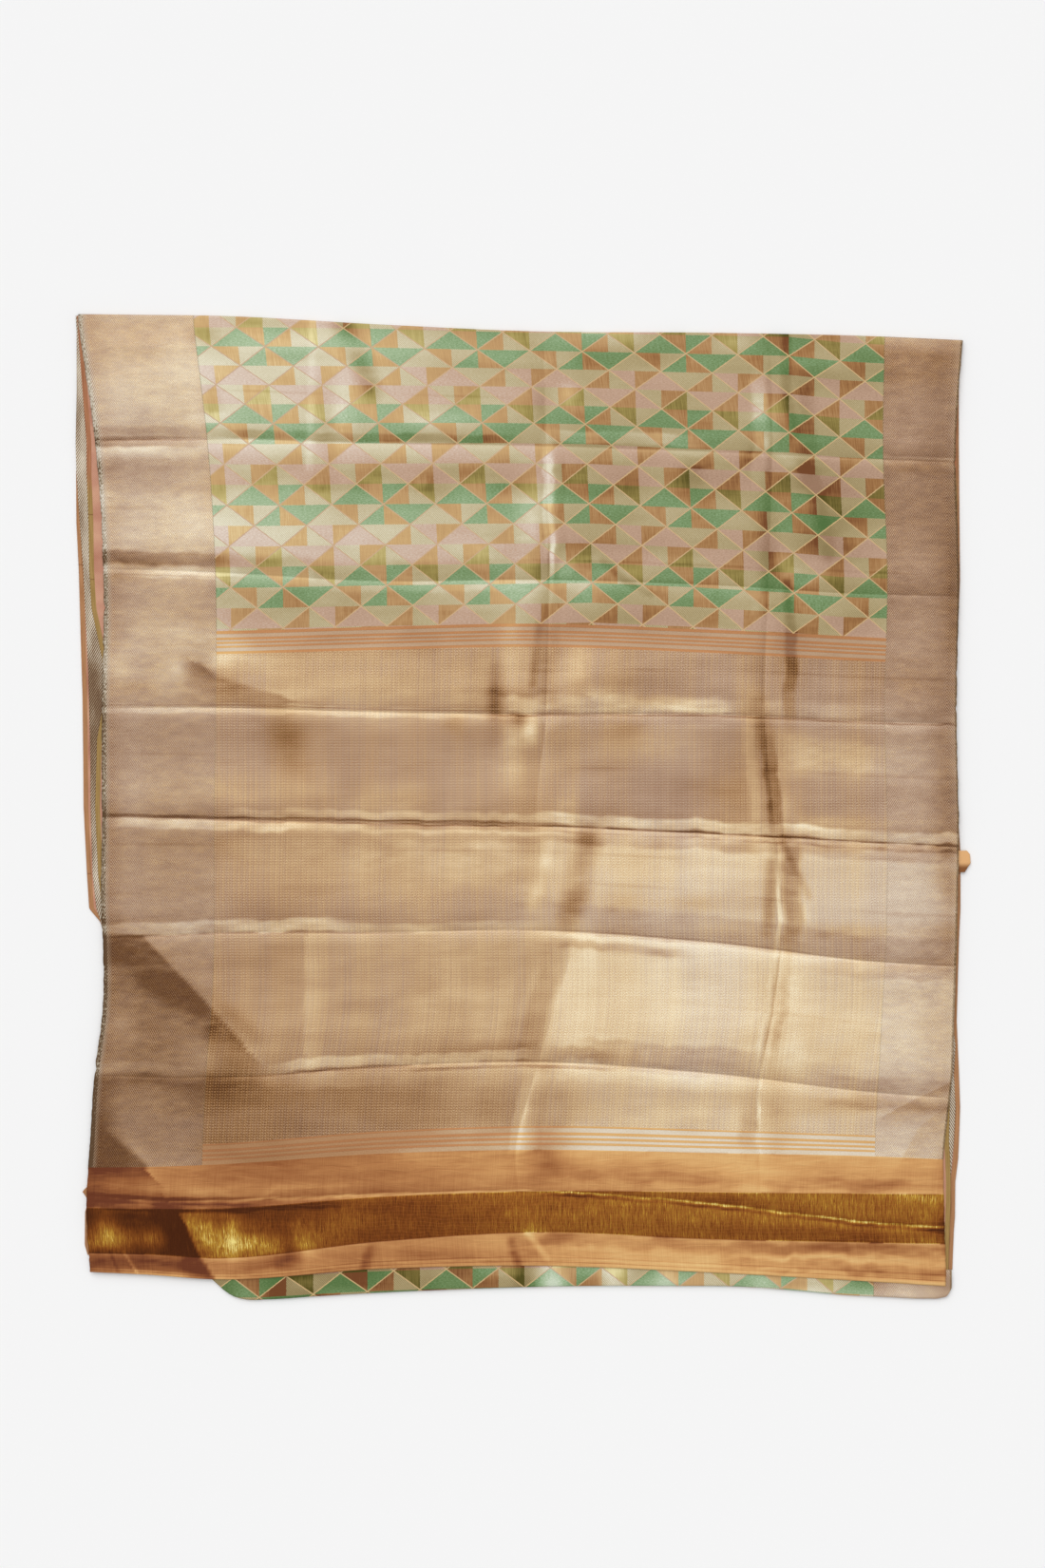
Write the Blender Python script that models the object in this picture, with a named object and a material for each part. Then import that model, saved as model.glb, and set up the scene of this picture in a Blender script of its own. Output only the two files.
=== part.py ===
"""A silk and zari sari, opened from its packet, folded in four and laid flat.

X runs across the loom width, from the wide border at -X to the narrow one at +X.
Y runs along the cloth, from the free end at -Y to the top fold at +Y. Z is up.
The origin is the middle of the folded sari, on the surface that it lies on.

The top layer is split into its woven stretches, each a thin wall. It rolls over
the top fold. The three layers under it are one solid with a flat underside,
stepped at both sides where the lower selvages show, and the lower fold comes out
below the free end as a doubled wall.
"""

import math
from collections import namedtuple

import bmesh
import bpy
import numpy as np

MM = 0.001

# Driving dimensions, in millimetres
WALL = 1.4
SEAM_GAP = 0.3
LAYER_GAP = 0.4
PILE_EDGE_HEIGHT = 6.2
PUFF_HEIGHT = 1.5
HEM_OVERLAP = 25.0
FOLD_CLEARANCE = 1.2
STEP_RUN = 0.9
INNER_STEP_RUN = 1.44
EDGE_THICKNESS_SHARE = 0.35
LOWER_FOLD_HEIGHT = PILE_EDGE_HEIGHT - WALL - LAYER_GAP
SMOOTH_ANGLE = math.radians(40)

# Share of the relief that is left at the sides and the free end, and the distance
# over which it grows to the whole from the sides, the top fold and the end
SIDE_REST = 0.35
END_REST = 0.1
SIDE_EASE = 55.0
FOLD_EASE = 45.0
END_EASE = 45.0

# The hidden layers stop this far inside the free end where nothing comes out below
# it, and behind the lower fold from there on: where the change starts and its length
STACK_BEHIND_END = 7.0
STACK_CHANGE_START = -431.0
STACK_CHANGE_RUN = 36.0

# Rounding of the hidden layers' ends: distance from the end, share of the height
STACK_ROUNDING = ((0.4, 0.6), (0.9, 0.84), (1.6, 0.96), (2.6, 1.0))

# Lines that run across the cloth: their Y at seven places across, in millimetres.
# The places are the left edge, the left border's inner side, left of middle,
# the middle, right of middle, the right border's inner side and the right edge.
ACROSS = (-590, -420, -190, 10, 250, 480, 590)
CROSS_LINES = {
    "top_fold": (663, 661, 649, 640, 638, 633, 628),
    "crease_1": (493, 494, 488, 485, 477, 467, 463),
    "crease_2": (319, 315, 303, 305, 298, 285, 283),
    "field_end": (234, 236, 242, 246, 238, 227, 221),
    "pallu_start": (204, 205, 211, 215, 207, 195, 191),
    "crease_3": (131, 129, 125, 124, 124, 114, 111),
    "crease_4": (-14, -17, -22, -26, -36, -49, -54),
    "crease_5": (-177, -170, -169, -166, -182, -209, -215),
    "crease_6": (-360, -364, -349, -343, -358, -385, -393),
    "pallu_end": (-456, -453, -436, -429, -434, -442, -445),
    "plain_start": (-485, -481, -466, -461, -465, -470, -475),
    "crease_7": (-523, -530, -522, -518, -534, -561, -567),
    "band_top": (-539, -536, -524, -517, -518, -520, -521),
    "band_bottom": (-600, -607, -584, -572, -581, -586, -588),
    "end_edge": (-627, -637, -621, -617, -626, -639, -646),
}

# Lines that run down the cloth: their X at eleven places down, in millimetres.
# The places are the top fold, creases 1 to 4, where the lower layers slip under
# the top one, creases 5 and 6, the plain strip, the zari band and the free end.
DOWN = (650, 490, 305, 122, -30, -137, -180, -360, -470, -535, -630)
DOWN_LINES = {
    "left_edge": (-598, -575, -564, -566, -566, -567, -569, -577, -583, -587, -582),
    "left_border": (-443, -424, -413, -413, -415, -415, -415, -426, -431, -432, -432),
    "long_crease_1": (27, 31, 35, 31, 20, 45, 62, 16, -10, -3, 8),
    "long_crease_2": (332, 335, 330, 325, 339, 348, 347, 320, 318, 319, 326),
    "right_border": (487, 484, 490, 486, 490, 489, 488, 478, 473, 473, 473),
    "right_edge": (591, 581, 584, 579, 583, 582, 582, 577, 566, 566, 569),
}

# The sides of the three lower layers, from the bottom layer up, at the same places
LOWER_LEFT = {
    "bottom": (-602, -603, -599, -592, -588, -584, -567, -574, -580, -583, -579),
    "middle": (-601, -597, -593, -586, -581, -578, -565, -572, -578, -581, -577),
    "upper": (-600, -587, -584, -580, -574, -571, -563, -570, -576, -579, -575),
}
LOWER_RIGHT = {
    "bottom": (595, 587, 590, 585, 589, 589, 587, 585, 584, 581, 577),
    "middle": (593, 585, 588, 583, 587, 586, 584, 581, 578, 575, 573),
    "upper": (592, 583, 586, 581, 585, 584, 582, 578, 572, 570, 571),
}

# Creases across the cloth: each is a valley between two raised lips.
# Lip heights and widths are in millimetres, with the share of that height
# which the crease has at the left, in the middle and at the right.
CrossCrease = namedtuple("CrossCrease", "line lip_above lip_below wide_above wide_below shares")
CROSS_CREASES = (
    CrossCrease("crease_1", 3.6, 2.2, 26, 11, (1.0, 0.8, 0.5)),
    CrossCrease("crease_2", 3.2, 1.4, 26, 14, (1.0, 0.8, 0.3)),
    CrossCrease("crease_3", 2.6, 2.8, 20, 11, (0.6, 1.2, 1.0)),
    CrossCrease("crease_4", 2.2, 2.8, 18, 12, (0.8, 1.0, 1.2)),
    CrossCrease("crease_5", 3.2, 2.0, 24, 11, (0.9, 0.9, 1.2)),
    CrossCrease("crease_6", 3.6, 2.4, 24, 12, (0.5, 1.0, 1.1)),
    CrossCrease("crease_7", 3.0, 1.8, 16, 10, (1.1, 0.6, 1.0)),
)

# Creases down the cloth, with their share of the height at each place in DOWN
DownCrease = namedtuple("DownCrease", "line lip_left lip_right wide_left wide_right shares")
DOWN_CREASES = (
    DownCrease("long_crease_1", 2.0, 2.8, 28, 15,
               (0.1, 0.7, 1.0, 1.2, 0.8, 0.9, 1.2, 1.1, 0.9, 0.6, 0.6)),
    DownCrease("long_crease_2", 2.2, 2.2, 16, 22,
               (0.4, 0.7, 0.6, 1.2, 0.9, 0.8, 0.7, 0.6, 0.5, 0.4, 0.3)),
)

# Broad swells and dents: centre, half sizes, turn in degrees and rise, in millimetres
Swell = namedtuple("Swell", "name x y half_wide half_long turn rise")
SWELLS = (
    Swell("left border puff", -505, 575, 60, 60, 0, 1.8),
    Swell("left middle puff", -330, 400, 110, 55, 0, 1.6),
    Swell("dent left of middle", -42, 145, 15, 42, 0, -2.2),
    Swell("dent by left border", -430, 178, 17, 28, -20, -1.8),
    Swell("dent above crease 3", -312, 85, 18, 48, 12, -1.8),
    Swell("pinched puff", 96, 170, 28, 26, 30, 2.8),
    Swell("right middle puff", 215, -105, 130, 45, 0, 2.4),
    Swell("right lower puff", 235, -270, 140, 60, 0, 2.2),
    Swell("slanting fold ridge", -462, -250, 20, 85, 44, 3.4),
    Swell("slanting fold trough", -424, -282, 12, 70, 46, -2.4),
    Swell("lower left hollow", -545, -455, 50, 32, 0, -1.0),
    Swell("band pucker", 8, -590, 14, 30, 12, 2.2),
)

# Places of the grid's columns within each stretch of the width, as shares of it,
# and distances to each side of the long creases, in millimetres
LEFT_BORDER_SHARES = (0.0, 0.012, 0.25, 0.5, 0.75)
LEFT_FIELD_SHARES = (0.0, 0.083, 0.26, 0.44, 0.62, 0.8)
MIDDLE_FIELD_SHARES = (0.27, 0.45, 0.63)
RIGHT_FIELD_SHARES = (0.45, 0.72)
RIGHT_BORDER_SHARES = (0.0, 0.33, 0.66, 0.98, 1.0)
CREASE_STEPS = (10, 28)

# Distances of the rows beside a crease, above the free end, and the steps in degrees
# of the top fold's roll and of the lower fold
NEAR = (10, 28)
NEAR_BACK = (28, 10)
HEM_STEPS = (HEM_OVERLAP, 12.0, 1.5)
ROLL_ANGLES = (-90, -54, -18, 18, 54)
LOWER_FOLD_ANGLES = (90, 54, 18, -18, -54, -90)
LOWER_FOLD_ROWS = (1.0, 0.6, 0.25)
TAB_ANGLES = (90, 45, 0, -45, -90)

# Outline of the lower fold from left to right: X and Y of its rounded edge, in millimetres
LOWER_FOLD_OUTLINE = (
    (-393, -640), (-388, -650), (-378, -658), (-360, -663), (-280, -659), (-193, -654),
    (-100, -650), (-13, -647), (90, -645), (190, -645), (294, -646), (365, -651),
    (431, -657), (490, -660), (545, -662), (563, -661), (573, -656), (577, -648),
)

# Small folded bit at the right edge: Y and how far it stands out, in millimetres
TAB_START_X = 589.4
TAB_HEIGHT = 3.4
TAB_WALL = 1.2
TAB_REACH = ((-59, 8.6), (-64, 12.6), (-76, 13.6), (-80, 10.6), (-88, 5.6))

COLOURS = {
    "field": (0.66, 0.60, 0.42, 1.0),
    "gold": (0.70, 0.50, 0.30, 1.0),
    "pale_gold": (0.74, 0.60, 0.43, 1.0),
    "stripe": (0.66, 0.40, 0.22, 1.0),
    "orange": (0.70, 0.34, 0.14, 1.0),
    "zari_band": (0.35, 0.14, 0.03, 1.0),
    "selvage": (0.50, 0.26, 0.14, 1.0),
}


def cross_line(name, x):
    """Y of a line across the cloth, where X is x."""
    return float(np.interp(x, ACROSS, CROSS_LINES[name]))


def along_down(values, y):
    """A value listed at the places in DOWN, where Y is y."""
    return float(np.interp(-y, [-place for place in DOWN], values))


def down_line(name, y):
    """X of a line down the cloth, where Y is y."""
    return along_down(DOWN_LINES[name], y)


def ease(t):
    """Smooth rise from 0 to 1."""
    t = min(max(t, 0.0), 1.0)
    return t * t * (3.0 - 2.0 * t)


def lip(distance, width):
    """A raised lip beside a crease: zero on the crease, 1 at one width from it."""
    t = distance / width
    return t * math.exp(1.0 - t)


def crease_height(distance, before, after, wide_before, wide_after):
    """Height of the two lips of one crease, at a signed distance from it."""
    if distance < 0.0:
        return before * lip(-distance, wide_before)
    return after * lip(distance, wide_after)


def swell_height(swell, x, y):
    """Height that one swell or dent adds at a place."""
    angle = math.radians(swell.turn)
    dx = x - swell.x
    dy = y - swell.y
    wide = (dx * math.cos(angle) + dy * math.sin(angle)) / swell.half_wide
    long = (dy * math.cos(angle) - dx * math.sin(angle)) / swell.half_long
    return swell.rise * math.exp(-0.5 * (wide * wide + long * long))


def relief(x, y):
    """How far the top layer stands above the height of its edges."""
    height = PUFF_HEIGHT
    for crease in CROSS_CREASES:
        below = cross_line(crease.line, x) - y
        share = float(np.interp(x, (-590, 0, 590), crease.shares))
        height += share * crease_height(
            below, crease.lip_above, crease.lip_below, crease.wide_above, crease.wide_below)
    for crease in DOWN_CREASES:
        beside = x - down_line(crease.line, y)
        share = along_down(crease.shares, y)
        height += share * crease_height(
            beside, crease.lip_left, crease.lip_right, crease.wide_left, crease.wide_right)
    for swell in SWELLS:
        height += swell_height(swell, x, y)
    return max(height, 0.0)


def top_height(x, y):
    """Height of the top layer's upper face: it lies down at its edges and folds."""
    from_side = min(x - down_line("left_edge", y), down_line("right_edge", y) - x)
    from_fold = cross_line("top_fold", x) - PILE_EDGE_HEIGHT / 2 - y
    from_end = y - cross_line("end_edge", x)
    side_share = SIDE_REST + (1.0 - SIDE_REST) * ease(from_side / SIDE_EASE)
    fold_share = ease(from_fold / FOLD_EASE)
    end_share = END_REST + (1.0 - END_REST) * ease((from_end - HEM_OVERLAP) / END_EASE)
    return PILE_EDGE_HEIGHT + relief(x, y) * side_share * fold_share * end_share


def rows_between(first, last, after, inner, before):
    """Lines from first up to last, without last: distances after, even parts, distances before."""
    rows = [lambda x: cross_line(first, x)]
    for distance in after:
        rows.append(lambda x, d=distance: cross_line(first, x) - d)
    start = after[-1] if after else 0.0
    stop = before[0] if before else 0.0
    for step in range(1, inner):
        share = step / inner
        rows.append(lambda x, s=share: (
            (cross_line(first, x) - start) * (1.0 - s) + (cross_line(last, x) + stop) * s))
    for distance in before:
        rows.append(lambda x, d=distance: cross_line(last, x) + d)
    return rows


def last_row(name):
    """A list with the one line that closes a stretch."""
    return [lambda x: cross_line(name, x)]


def fold_start(x):
    """Y where the flat top layer passes into the roll of the top fold."""
    return cross_line("top_fold", x) - PILE_EDGE_HEIGHT / 2


FIELD_ROWS = (
    [fold_start]
    + rows_between("top_fold", "crease_1", (14,), 3, NEAR_BACK)[1:]
    + rows_between("crease_1", "crease_2", NEAR, 3, NEAR_BACK)
    + rows_between("crease_2", "field_end", NEAR, 1, ())
    + last_row("field_end"))
FIELD_STRIPE_ROWS = rows_between("field_end", "pallu_start", (), 1, ()) + last_row("pallu_start")
PALLU_ROWS = (
    rows_between("pallu_start", "crease_3", (), 2, NEAR_BACK)
    + rows_between("crease_3", "crease_4", NEAR, 2, NEAR_BACK)
    + rows_between("crease_4", "crease_5", NEAR, 2, NEAR_BACK)
    + rows_between("crease_5", "crease_6", NEAR, 3, NEAR_BACK)
    + rows_between("crease_6", "pallu_end", NEAR, 1, ())
    + last_row("pallu_end"))
PALLU_STRIPE_ROWS = rows_between("pallu_end", "plain_start", (), 1, ()) + last_row("plain_start")
PLAIN_ROWS = rows_between("plain_start", "band_top", (), 4, ()) + last_row("band_top")
BAND_ROWS = rows_between("band_top", "band_bottom", (), 4, ()) + last_row("band_bottom")
HEM_ROWS = (
    last_row("band_bottom")
    + [lambda x, s=step: cross_line("end_edge", x) + s for step in HEM_STEPS]
    + last_row("end_edge"))
BORDER_ROWS = FIELD_ROWS[:-1] + FIELD_STRIPE_ROWS[:-1] + PALLU_ROWS[:-1] + PALLU_STRIPE_ROWS


def part_way(first, last, share):
    """A line down the cloth, part of the way from one line to another."""
    return lambda y: down_line(first, y) * (1.0 - share) + down_line(last, y) * share


def beside(name, distance):
    """A line down the cloth, at a distance from another."""
    return lambda y: down_line(name, y) + distance


def columns_of(first, last, shares):
    return [part_way(first, last, share) for share in shares]


LEFT_BORDER_COLUMNS = columns_of("left_edge", "left_border", LEFT_BORDER_SHARES + (1.0,))
FIELD_COLUMNS = (
    columns_of("left_border", "long_crease_1", LEFT_FIELD_SHARES)
    + [beside("long_crease_1", -step) for step in reversed(CREASE_STEPS)]
    + [beside("long_crease_1", 0.0)]
    + [beside("long_crease_1", step) for step in CREASE_STEPS]
    + columns_of("long_crease_1", "long_crease_2", MIDDLE_FIELD_SHARES)
    + [beside("long_crease_2", -step) for step in reversed(CREASE_STEPS)]
    + [beside("long_crease_2", 0.0)]
    + [beside("long_crease_2", step) for step in CREASE_STEPS]
    + columns_of("long_crease_2", "right_border", RIGHT_FIELD_SHARES + (1.0,)))
RIGHT_BORDER_COLUMNS = columns_of("right_border", "right_edge", RIGHT_BORDER_SHARES)
ALL_COLUMNS = LEFT_BORDER_COLUMNS[:-1] + FIELD_COLUMNS[:-1] + RIGHT_BORDER_COLUMNS


def meeting_point(row, column):
    """X and Y where a line across meets a line down."""
    x = column(row(0.0))
    for _ in range(4):
        y = row(x)
        x = column(y)
    return x, row(x)


def trimmed_points(rows, columns, trims):
    """X and Y of every grid point, with half a seam gap taken off the sides that have a seam."""
    top_trim, bottom_trim, left_trim, right_trim = trims
    half_gap = SEAM_GAP / 2
    points = []
    for r, row in enumerate(rows):
        line = []
        for c, column in enumerate(columns):
            x, y = meeting_point(row, column)
            if c == 0 and left_trim:
                x += half_gap
            if c == len(columns) - 1 and right_trim:
                x -= half_gap
            if r == 0 and top_trim:
                y -= half_gap
            if r == len(rows) - 1 and bottom_trim:
                y += half_gap
            line.append((x, y))
        points.append(line)
    return points


def wall_faces(points, rolled):
    """Outer and inner points of a wall, with the roll of the top fold in front of its rows."""
    outer = []
    inner = []
    if rolled:
        radius = PILE_EDGE_HEIGHT / 2
        for angle in ROLL_ANGLES:
            turn = math.radians(angle)
            outer.append([(x, y + radius * math.cos(turn), radius + radius * math.sin(turn))
                          for x, y in points[0]])
            thin = radius - WALL
            inner.append([(x, y + thin * math.cos(turn), radius + thin * math.sin(turn))
                          for x, y in points[0]])
    for line in points:
        heights = [top_height(x, y) for x, y in line]
        outer.append([(x, y, z) for (x, y), z in zip(line, heights)])
        inner.append([(x, y, z - WALL) for (x, y), z in zip(line, heights)])
    return outer, inner


def new_object(name, bm, colour, roughness, metallic):
    """Make the object and its material from a finished bmesh in millimetres."""
    bmesh.ops.triangulate(bm, faces=bm.faces[:], quad_method="SHORT_EDGE", ngon_method="BEAUTY")
    bmesh.ops.scale(bm, vec=(MM, MM, MM), verts=bm.verts[:])
    bmesh.ops.recalc_face_normals(bm, faces=bm.faces[:])
    mesh = bpy.data.meshes.new(name)
    bm.to_mesh(mesh)
    bm.free()
    mesh.shade_smooth()
    mesh.set_sharp_from_angle(angle=SMOOTH_ANGLE)
    item = bpy.data.objects.new(name, mesh)
    bpy.context.scene.collection.objects.link(item)
    material = bpy.data.materials.new(name + "_cloth")
    material.use_nodes = True
    shader = material.node_tree.nodes["Principled BSDF"]
    shader.inputs["Base Color"].default_value = COLOURS[colour]
    shader.inputs["Roughness"].default_value = roughness
    shader.inputs["Metallic"].default_value = metallic
    mesh.materials.append(material)
    return item


def sheet(outer):
    """A bmesh grid with its points put where a table of rows says, and their places kept."""
    bm = bmesh.new()
    row_tag = bm.verts.layers.int.new("row")
    column_tag = bm.verts.layers.int.new("column")
    across = len(outer[0]) - 1
    down = len(outer) - 1
    bmesh.ops.create_grid(bm, x_segments=across, y_segments=down, size=1.0)
    for vert in bm.verts:
        c = round((vert.co.x + 1.0) / 2.0 * across)
        r = round((1.0 - vert.co.y) / 2.0 * down)
        vert[row_tag] = r
        vert[column_tag] = c
        vert.co = outer[r][c]
    return bm, row_tag, column_tag


def wall(name, outer, inner, colour, roughness, metallic):
    """A closed wall: the outer sheet, drawn inwards to the inner one."""
    bm, row_tag, column_tag = sheet(outer)
    drawn = bmesh.ops.extrude_face_region(bm, geom=bm.faces[:])
    for vert in drawn["geom"]:
        if isinstance(vert, bmesh.types.BMVert):
            vert.co = inner[vert[row_tag]][vert[column_tag]]
    return new_object(name, bm, colour, roughness, metallic)


def stretch(name, rows, columns, trims, colour, roughness, metallic, rolled=False):
    """One woven stretch of the top layer."""
    points = trimmed_points(rows, columns, trims)
    outer, inner = wall_faces(points, rolled)
    return wall(name, outer, inner, colour, roughness, metallic)


def stack_end(x):
    """Y where the hidden layers stop: behind the lower fold, or near the free end beside it."""
    beside_fold = cross_line("end_edge", x) + STACK_BEHIND_END
    behind_fold = cross_line("end_edge", x) + HEM_OVERLAP + FOLD_CLEARANCE
    share = ease((x - STACK_CHANGE_START) / STACK_CHANGE_RUN)
    return beside_fold * (1.0 - share) + behind_fold * share


def side_columns(layers, inward, wall_column):
    """Columns of a stepped side, outermost first, with the share of the height that each has.

    Each layer has a column on its edge and one where it has reached its full thickness.
    The last column is the top layer's own, unless the steps reach further in than that.
    """
    columns = []
    levels = len(layers)
    for number, values in enumerate(layers.values()):
        edge_share = (number + EDGE_THICKNESS_SHARE) / levels
        full_share = (number + 1.0) / levels
        columns.append((lambda y, v=values: along_down(v, y), edge_share))
        columns.append((lambda y, v=values: along_down(v, y) + inward * STEP_RUN, full_share))
    innermost = max if inward > 0 else min
    columns.append((lambda y, v=values: innermost(
        wall_column(y), along_down(v, y) + inward * INNER_STEP_RUN), 1.0))
    return columns


def folded_layers():
    """The three hidden layers: one solid, flat below, stepped at both sides, round at its ends."""
    front = [(lambda x, d=distance: fold_start(x) - d, share)
             for distance, share in STACK_ROUNDING]
    middle = [(row, 1.0) for row in BORDER_ROWS[1:-1] + PLAIN_ROWS[:-1] + BAND_ROWS]
    back = [(lambda x, d=distance: stack_end(x) + d, share)
            for distance, share in reversed(STACK_ROUNDING)]
    columns = side_columns(LOWER_LEFT, 1, ALL_COLUMNS[1])
    columns += [(column, 1.0) for column in ALL_COLUMNS[2:-2]]
    columns += reversed(side_columns(LOWER_RIGHT, -1, ALL_COLUMNS[-2]))
    surface = []
    for row, row_share in front + middle + back:
        line = []
        for column, column_share in columns:
            x, y = meeting_point(row, column)
            full = top_height(x, y) - WALL - LAYER_GAP
            line.append((x, y, full * row_share * column_share))
        surface.append(line)
    bm, _, _ = sheet(surface)
    rim = [edge for edge in bm.edges if edge.is_boundary]
    skirt = bmesh.ops.extrude_edge_only(bm, edges=rim)
    for vert in skirt["geom"]:
        if isinstance(vert, bmesh.types.BMVert):
            vert.co.z = 0.0
    underside_edges = [edge for edge in bm.edges if edge.is_boundary]
    underside = bmesh.ops.contextual_create(bm, geom=underside_edges)
    bmesh.ops.poke(bm, faces=underside["faces"])
    return new_object("folded_layers", bm, "selvage", 0.5, 0.3)


def lower_fold():
    """The lower layers' fold below the free end: a wall doubled back on itself."""
    radius = LOWER_FOLD_HEIGHT / 2
    thin = radius - WALL
    outer = []
    inner = []

    def back_y(x):
        return cross_line("end_edge", x) + HEM_OVERLAP

    def flat_line(share, z):
        line = []
        for x, y in LOWER_FOLD_OUTLINE:
            start = y + radius
            line.append((x, start + share * (back_y(x) - start), z))
        return line

    for share in LOWER_FOLD_ROWS:
        outer.append(flat_line(share, LOWER_FOLD_HEIGHT))
        inner.append(flat_line(share, LOWER_FOLD_HEIGHT - WALL))
    for angle in LOWER_FOLD_ANGLES:
        turn = math.radians(angle)
        outer.append([(x, y + radius - radius * math.cos(turn), radius + radius * math.sin(turn))
                      for x, y in LOWER_FOLD_OUTLINE])
        inner.append([(x, y + radius - thin * math.cos(turn), radius + thin * math.sin(turn))
                      for x, y in LOWER_FOLD_OUTLINE])
    outer.append(flat_line(1.0, 0.0))
    inner.append(flat_line(1.0, WALL))
    return wall("lower_fold", outer, inner, "field", 0.45, 0.4)


def right_edge_tab():
    """A small bit of a lower border, folded out past the right edge."""
    radius = TAB_HEIGHT / 2
    thin = radius - TAB_WALL
    outer = [[(TAB_START_X, y, TAB_HEIGHT) for y, _ in TAB_REACH]]
    inner = [[(TAB_START_X, y, TAB_HEIGHT - TAB_WALL) for y, _ in TAB_REACH]]
    for angle in TAB_ANGLES:
        turn = math.radians(angle)
        outer.append([(TAB_START_X + reach - radius + radius * math.cos(turn), y,
                       radius + radius * math.sin(turn)) for y, reach in TAB_REACH])
        inner.append([(TAB_START_X + reach - radius + thin * math.cos(turn), y,
                       radius + thin * math.sin(turn)) for y, reach in TAB_REACH])
    outer.append([(TAB_START_X, y, 0.0) for y, _ in TAB_REACH])
    inner.append([(TAB_START_X, y, TAB_WALL) for y, _ in TAB_REACH])
    return wall("right_edge_tab", outer, inner, "orange", 0.5, 0.1)


for leftover in list(bpy.data.objects):
    bpy.data.objects.remove(leftover, do_unlink=True)

# Trims name the sides that meet a neighbour, in the order top, bottom, left, right
stretch("field_stretch", FIELD_ROWS, FIELD_COLUMNS, (False, True, True, True),
        "field", 0.45, 0.4, rolled=True)
stretch("field_stripes", FIELD_STRIPE_ROWS, FIELD_COLUMNS, (True, True, True, True),
        "stripe", 0.45, 0.4)
stretch("pallu_stretch", PALLU_ROWS, FIELD_COLUMNS, (True, True, True, True),
        "gold", 0.38, 0.6)
stretch("pallu_stripes", PALLU_STRIPE_ROWS, FIELD_COLUMNS, (True, True, True, True),
        "stripe", 0.45, 0.4)
stretch("end_plain_strip", PLAIN_ROWS, ALL_COLUMNS, (True, True, False, False),
        "orange", 0.5, 0.1)
stretch("end_zari_band", BAND_ROWS, ALL_COLUMNS, (True, True, False, False),
        "zari_band", 0.35, 0.7)
stretch("end_hem", HEM_ROWS, ALL_COLUMNS, (True, False, False, False),
        "orange", 0.5, 0.1)
stretch("left_border", BORDER_ROWS, LEFT_BORDER_COLUMNS, (False, True, False, True),
        "pale_gold", 0.4, 0.6, rolled=True)
stretch("right_border", BORDER_ROWS, RIGHT_BORDER_COLUMNS, (False, True, True, False),
        "pale_gold", 0.4, 0.6, rolled=True)
folded_layers()
lower_fold()
right_edge_tab()
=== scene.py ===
"""The looks of a silk and zari sari, opened from its packet, folded in four and laid flat.

X runs across the loom width, Y along the cloth with the free end at -Y, Z is up.
"""

import math
from collections import namedtuple

import bmesh
import bpy
import numpy as np
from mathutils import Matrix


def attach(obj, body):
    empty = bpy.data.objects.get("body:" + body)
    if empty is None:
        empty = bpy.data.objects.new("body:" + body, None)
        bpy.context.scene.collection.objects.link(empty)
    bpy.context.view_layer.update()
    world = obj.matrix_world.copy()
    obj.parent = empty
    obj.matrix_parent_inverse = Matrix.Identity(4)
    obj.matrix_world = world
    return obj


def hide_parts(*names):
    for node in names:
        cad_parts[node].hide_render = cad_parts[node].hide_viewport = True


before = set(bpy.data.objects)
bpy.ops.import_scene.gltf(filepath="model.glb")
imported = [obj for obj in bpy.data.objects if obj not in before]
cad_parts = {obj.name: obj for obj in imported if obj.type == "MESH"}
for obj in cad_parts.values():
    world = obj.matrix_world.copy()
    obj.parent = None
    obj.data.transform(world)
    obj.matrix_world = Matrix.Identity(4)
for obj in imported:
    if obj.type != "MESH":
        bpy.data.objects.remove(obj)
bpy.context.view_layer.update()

# The camera and the table. The photograph was taken from straight above, so the camera
# hangs over the middle of the picture. The table is plain pale paper.

MM = 0.001
PIXEL = 1.28 * MM
PICTURE_HEIGHT = 1650 * PIXEL
PICTURE_MIDDLE = (-0.0006, 0.0307)
CAMERA_HEIGHT = 3.6
TABLE_SIZE = 7.0
TABLE_DEPTH = 0.0006

lens = bpy.data.cameras.new("overhead_camera")
lens.sensor_width = 36.0
lens.lens = lens.sensor_width * CAMERA_HEIGHT / PICTURE_HEIGHT
camera = bpy.data.objects.new("overhead_camera", lens)
camera.location = (*PICTURE_MIDDLE, CAMERA_HEIGHT)
bpy.context.scene.collection.objects.link(camera)
bpy.context.scene.camera = camera


def new_piece(name, bm):
    """An object made of a finished bmesh."""
    mesh = bpy.data.meshes.new(name)
    bm.to_mesh(mesh)
    bm.free()
    mesh.shade_smooth()
    piece = bpy.data.objects.new(name, mesh)
    bpy.context.scene.collection.objects.link(piece)
    return piece


class Value:
    """A socket in a material. Arithmetic on it adds Math nodes."""

    def __init__(self, finish, socket):
        self.finish = finish
        self.socket = socket

    def math(self, operation, *others):
        inputs = dict(enumerate((self, *others)))
        return self.finish.node("Math", {"operation": operation}, inputs)

    def __add__(self, other):
        return self.math("ADD", other)

    def __sub__(self, other):
        return self.math("SUBTRACT", other)

    def __rsub__(self, other):
        return self.finish.node("Math", {"operation": "SUBTRACT"}, {0: other, 1: self})

    def __mul__(self, other):
        return self.math("MULTIPLY", other)

    def __truediv__(self, other):
        return self.math("DIVIDE", other)

    def __mod__(self, other):
        return self.math("FLOORED_MODULO", other)

    def __lt__(self, other):
        return self.math("LESS_THAN", other)

    def __gt__(self, other):
        return self.math("GREATER_THAN", other)

    __radd__ = __add__
    __rmul__ = __mul__

    def between(self, low, high):
        """Rises smoothly from 0 at low to 1 at high."""
        settings = {"interpolation_type": "SMOOTHSTEP"}
        return self.finish.node("MapRange", settings, {0: self, 1: low, 2: high})


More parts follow.
